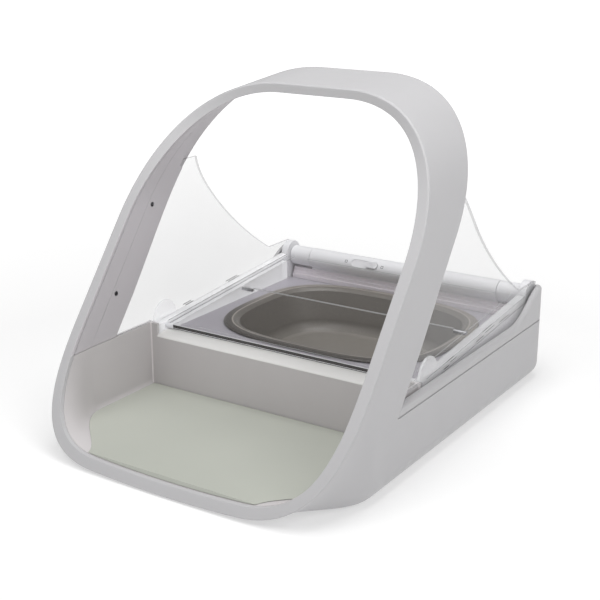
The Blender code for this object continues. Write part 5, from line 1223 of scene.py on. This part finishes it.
# Side panels: clear wings from the arch to the rear corners that stop a second pet from reaching in.
# Bent from 2.2 mm polycarbonate to follow the arch, and pushed into slots behind the lining.
WING_LOW = (0.1150, 0.0765)
WING_REAR_Y = 0.1440
WING_CURVE_SHARES = (0.20, 0.42, 0.62, 0.34)
PANEL_TINT = (0.62, 0.62, 0.63)
PANEL_EDGE_TINT = (0.42, 0.42, 0.43)
PANEL_MARKS = (
    ((0.0030, 0.0572), (0.0127, 0.0580), CLIP_GAP),
    ((0.0570, 0.0617), (0.0718, 0.0629), CLIP_GAP),
)
SIDEWAYS_SHARE = 0.05

PANEL = clear_finish("clear_panel", PANEL_TINT, 0.09, 0.40, 0.0, PANEL_MARKS)
PANEL_EDGE = clear_finish("clear_panel_edge", PANEL_EDGE_TINT, 0.35, 0.55)
run = WING_LOW[0] - WING_TOP[0]
drop = WING_TOP[1] - WING_LOW[1]
first, second, third, fourth = WING_CURVE_SHARES
leaving = (WING_TOP[0] + run * first, WING_TOP[1] - drop * second)
arriving = (WING_LOW[0] - run * fourth, WING_LOW[1] + drop * fourth * third)
curve = [WING_TOP, *bezier((WING_TOP, leaving, arriving, WING_LOW), CORNER_STEPS)]
rest = TRAY_TOP_Z + GAP
step_back = STEP_Y + TRAY_WALL + GAP
deck_z = SEAM_Z + RIM_WIDTH - WALL + 2 * GAP
wing_outline = [(FACE_Y, WING_TOP[1]), (FACE_Y, rest), (step_back, rest), (step_back, deck_z)]
wing_outline += [(WING_REAR_Y, deck_z), (WING_REAR_Y, WING_LOW[1]), *curve[::-1]]
for side, word in SIDES:
    strip_reach = (WING_OUTER, WING_INNER, WING_FRONT_DEPTH, 2 * REAR_Y)
    wing = side_strip(f"wing_{word}", side, *strip_reach)
    keep = prism("wing_outline", wing_outline, span(side, 0.0, HALF_WIDTH + OVERRUN))
    combine(wing, "INTERSECT", [keep])
    fit(smooth(wing), PANEL, "root", f"side_panel_{word}")
    refinish(wing, PANEL_EDGE, lambda face: abs(face.normal.x) < SIDEWAYS_SHARE)


# Lid: two clear panels that fold at a middle hinge, the rear one carried by the tube's barrels.
# The front one ends in a thicker lip; its pegs run in the rails, so the lid folds up as it opens.
# The panels' ends carry a painted highlight along their upper arris, and the lip's face a painted dark band
# for the dark bowl seen through it.
PANEL_LENGTH = LID_REACH / 2
PANEL_THICKNESS = 0.0022
LID_HALF = 0.0960
LID_LIP_REACH = 0.0022
LID_LIP_BELOW = 0.0012
LID_LIP_ABOVE = 0.0028
FOLD_GAP = 0.0004
KNUCKLE_RADIUS = 0.0026
KNUCKLE_WIDTH = 0.0045
KNUCKLE_INSET = 0.0100
PIN_RADIUS = 0.0012
SOCKET_DEPTH = 0.0060
LID_LIP_PAINTED_DARK = (0.025, 0.022, 0.020)
LID_LIP_BAND = 0.0023
LID_LIP_BANDS = (0.0011, -0.0007)
LID_LIP_FACING = 0.7
FOLD_HIGHLIGHT_WIDTH = 0.0007
LID_EDGE_Y = -0.0272
LID_END_AREA = 0.0001
LID_END_FACING = 0.9


def lid_point(along, above_line):
    """A (Y, Z) point: distance from the rear axis down the closed lid, and height over its line."""
    y = LID_AXIS_Y - along * math.cos(LID_SLOPE) - above_line * math.sin(LID_SLOPE)
    z = LID_AXIS_Z - along * math.sin(LID_SLOPE) + above_line * math.cos(LID_SLOPE)
    return y, z


def lid_slab(name, start, end, low, high, xs):
    corners = ((start, low), (end, low), (end, high), (start, high))
    return prism(name, [lid_point(along, height) for along, height in corners], xs)


def lid_bar(name, along, radius, xs):
    return rod(name, radius, xs, "X", (0.0, *lid_point(along, 0.0)))


def lid_end(face):
    """Whether a face closes a panel at one of its four sides."""
    return max(abs(face.normal.y), abs(face.normal.x)) > LID_END_FACING and face.area > LID_END_AREA


LID = clear_finish("clear_lid", CLEAR_TINT, 0.010, 0.13)
LIP = Finish("clear_lid_lip")
x, y, z = LIP.axes()
# A painted dark band in the lip's face, standing in for the dark bowl seen through the clear lip.
height = z - (LID_FRONT_Z - (LID_FRONT_Y - LID_EDGE_Y) * math.tan(LID_SLOPE))
band = abs(height - LID_LIP_BANDS[0]) < LID_LIP_BAND / 2
band = band + (abs(height - LID_LIP_BANDS[1]) < LID_LIP_BAND / 8)
LIP.set(Base_Color=LIP.blend(band, CLEAR_EDGE_TINT, LID_LIP_PAINTED_DARK), Roughness=0.25, IOR=1.58)
LIP.set(Alpha=LIP.noise(30.0, 4.0) * 0.1 + band * 0.15 + 0.75)
FOLD = Finish("clear_lid_fold")
x, y, z = FOLD.axes()
height = (z - LID_AXIS_Z) * math.cos(LID_SLOPE) - (y - LID_AXIS_Y) * math.sin(LID_SLOPE)
# A painted highlight along the panels' upper arris, where the ends would catch the light.
arris = height > PANEL_THICKNESS - FOLD_HIGHLIGHT_WIDTH
haze = FOLD.noise(30.0, 4.0)
FOLD.set(Base_Color=FOLD.mottled(haze, CLEAR_EDGE_TINT, 0.95), Roughness=0.08, IOR=1.58)
FOLD.set(Alpha=arris * 0.6 + haze * 0.04 + 0.02)

width = about(0.0, LID_HALF)
thick = (0.0, PANEL_THICKNESS)
notch = KNUCKLE_RADIUS + GAP
panel_start = TUBE_RADIUS + SLIDER_STANDOUT + SLIDER_RIB + 2 * GAP
lip_start = LID_REACH - LID_LIP_REACH
lip_end = LID_REACH + LID_LIP_REACH
rear_panel = lid_slab("rear_lid_panel", panel_start, PANEL_LENGTH - FOLD_GAP, *thick, width)
front_panel = lid_slab("front_lid_panel", PANEL_LENGTH + FOLD_GAP, lip_end, *thick, width)
join(front_panel, lid_slab("lip", lip_start, lip_end, -LID_LIP_BELOW, LID_LIP_ABOVE, width))
for side in (-1, 1):
    inner = LID_HALF - KNUCKLE_INSET
    outer = inner + KNUCKLE_WIDTH
    beyond = LID_HALF + OVERRUN
    arm = span(side, TUBE_HALF + 2 * GAP, LID_HALF)
    rear_gap = span(side, outer - GAP, beyond)
    front_gap = span(side, inner - GAP, outer + GAP)
    pin_bore = ("pin_bore", PANEL_LENGTH, PIN_RADIUS + GAP, span(side, inner - OVERRUN, beyond))
    join(rear_panel, lid_slab("arm", BARREL_RADIUS + GAP, panel_start + OVERRUN, *thick, arm))
    join(rear_panel, lid_bar("rear_knuckle", PANEL_LENGTH, KNUCKLE_RADIUS, span(side, inner, outer)))
    reach = (PANEL_LENGTH - notch, PANEL_LENGTH + OVERRUN)
    cut(rear_panel, lid_slab("rear_notch", *reach, -notch, notch, rear_gap))
    cut(rear_panel, lid_bar(*pin_bore))
    knuckle = span(side, outer + GAP, LID_HALF)
    join(front_panel, lid_bar("front_knuckle", PANEL_LENGTH, KNUCKLE_RADIUS, knuckle))
    reach = (PANEL_LENGTH - OVERRUN, PANEL_LENGTH + notch)
    cut(front_panel, lid_slab("front_notch", *reach, -notch, notch, front_gap))
    cut(front_panel, lid_bar(*pin_bore))
    boss = span(side, LID_HALF - SOCKET_DEPTH, LID_HALF)
    join(front_panel, lid_bar("peg_boss", LID_REACH, PEG_RADIUS, boss))
    socket = span(side, LID_HALF - SOCKET_DEPTH / 2, beyond)
    cut(front_panel, lid_bar("peg_socket", LID_REACH, PEG_RADIUS / 2 + GAP, socket))
fit(soften(rear_panel, CLEAR_ROUND), LID, "lid_rear", "lid_rear_panel")
refinish(rear_panel, FOLD, lid_end)
fit(soften(front_panel, CLEAR_ROUND), LID, "lid_front", "lid_front_panel")
refinish(front_panel, FOLD, lid_end)
lip_y = lid_point(lip_start - CLEAR_ROUND, 0.0)[0]
refinish(front_panel, LIP, lambda face: face.center.y < lip_y and face.normal.y < -LID_LIP_FACING)


# Small metal parts: turned steel pins and shaft, plated contacts and springs, and the base screws.
# Brushed or rolled steel, so each has fine streaks along its length.
STEEL_COLOURS = ((0.50, 0.50, 0.52), (0.66, 0.66, 0.68))
STREAK = (0.08, 1.0, 1.0)


def dress(finish, *names):
    """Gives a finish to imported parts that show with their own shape."""
    for name in names:
        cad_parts[name].material_slots[0].material = finish.material


def both(*stems):
    return [f"{stem}_{word}" for side, word in SIDES for stem in stems]


STEEL = Finish("rolled_steel")
streak = STEEL.node("ShaderNodeMapping", None, {"Vector": STEEL.place, "Scale": STREAK})
lines = STEEL.noise(2400.0, 3.0, streak)
STEEL.set(Base_Color=STEEL.blend(lines, *STEEL_COLOURS), Roughness=lines * 0.15 + 0.22, Metallic=1.0)
dress(STEEL, "gear_motor", "drive_shaft", "idle_pin")
dress(STEEL, *both("hinge_pin", "contact_spring", "contact_plate"))
dress(STEEL, *both("base_screw_front", "base_screw_middle", "base_screw_rear"))


# Antenna coil: a band of enamelled copper windings round the arch, between the shell and the lining.
# It's wound flat, so its face shows fine turns that follow the arch.
COPPER_COLOURS = ((0.30, 0.12, 0.05), (0.66, 0.30, 0.13))
WINDING = 0.00025

COPPER = Finish("enamelled_copper")
x, y, z = COPPER.axes()
turns = COPPER.maths("PINGPONG", y - (z - BOTTOM_Z) * math.tan(LEAN), WINDING) * (1 / WINDING)
COPPER.set(Base_Color=COPPER.blend(turns, *COPPER_COLOURS), Roughness=0.32, Metallic=1.0)
COPPER.set(Normal=COPPER.bump(turns, 0.00005))
dress(COPPER, "antenna_coil")


# Batteries: four C cells in two black boxes under the ledge, behind doors in the base.
# The cells have a printed sleeve with a plain metal band at the pole; the boxes are bare ABS.
CELL_START_X = 0.0021
CELL_HALF_LENGTH = 0.0250
CELL_BAND = 0.0060
CELL_BAND_COLOUR = (0.62, 0.60, 0.55)
SLEEVE_COLOURS = ((0.030, 0.031, 0.034), (0.055, 0.056, 0.060))

CELL = Finish("cell_sleeve")
x, y, z = CELL.axes()
band = CELL.maths("PINGPONG", abs(x) - CELL_START_X, CELL_HALF_LENGTH) < CELL_BAND
scuff = CELL.noise(220.0, 4.0)
CELL.set(Base_Color=CELL.blend(band, CELL.blend(scuff, *SLEEVE_COLOURS), CELL_BAND_COLOUR))
CELL.set(Roughness=scuff * 0.2 + 0.25, Metallic=band * 0.9)
dress(CELL, *both("battery_inner", "battery_outer"))
dress(moulded("black_abs", (0.022, 0.022, 0.024), 0.50), *both("battery_box"))
dress(SHELL, *both("battery_door"))


# Control board: green glass-fibre board with two push switches under the buttons.
# Its solder mask shows paler traces on a square grid.
BOARD_COLOURS = ((0.010, 0.095, 0.035), (0.030, 0.190, 0.070))

BOARD = Finish("circuit_board")
x, y, z = BOARD.axes()
lane = BOARD.maths("PINGPONG", z + BOARD.noise(90.0, 0.0) * 0.004, 0.0008)
across = BOARD.maths("PINGPONG", x + BOARD.noise(70.0, 0.0) * 0.006, 0.0020)
traces = BOARD.maths("MAXIMUM", lane < 0.00018, across < 0.00022)
BOARD.set(Base_Color=BOARD.blend(traces, *BOARD_COLOURS), Roughness=0.28)
BOARD.set(Normal=BOARD.bump(traces, 0.00003))
dress(BOARD, "circuit_board")


# Buttons: the two white push buttons on the back, one to learn a pet's tag and one to open and close.
# Each is a turned acetal cap with a dished face, held by a flange behind the wall.
BUTTON_DISH = 0.0003
BUTTON_DISH_SHARE = 0.9
BUTTON_STANDOUT = 0.0006
BUTTON_EDGE_SHARE = 0.8
BUTTON_FLANGE = 0.0012
BUTTON_FLANGE_DEPTH = 0.0015
BUTTON_STEM_GAP = 0.0035

for side, name in ((-1, "add_pet_button"), (1, "open_close_button")):
    wall = REAR_Y - WALL - GAP
    flange = wall - BUTTON_FLANGE_DEPTH
    face = REAR_Y + BUTTON_STANDOUT
    edge = BUTTON_STANDOUT * BUTTON_EDGE_SHARE
    profile = [(BUTTON_RADIUS / 2, BOARD_REAR_Y + BUTTON_STEM_GAP), (BUTTON_RADIUS / 2, flange)]
    profile += [(BUTTON_RADIUS + BUTTON_FLANGE, flange), (BUTTON_RADIUS + BUTTON_FLANGE, wall)]
    profile.append((BUTTON_RADIUS, wall))
    profile += rounding((BUTTON_RADIUS - edge, face - edge), (edge, edge), ROUND_STEPS)
    for share in (0.75, 0.5, 0.25, 0.02):
        profile.append((BUTTON_RADIUS * share * BUTTON_DISH_SHARE, face - BUTTON_DISH * (1 - share**2)))
    cap = turned(f"{name}_cap", profile, "Y", (side * BUTTON_X, 0.0, BUTTON_Z))
    fit(smooth(cap), WHITE, name, name)


# Guide pegs and feet: white acetal pegs that run in the rails, and four black rubber feet.
# The feet are pushed into recesses of the base and have a fine moulded grip.
dress(WHITE, *both("guide_peg"))
RUBBER = moulded("foot_rubber", (0.030, 0.030, 0.032), 0.85, 0.00005)
dress(RUBBER, *both("rubber_foot_front", "rubber_foot_rear"))
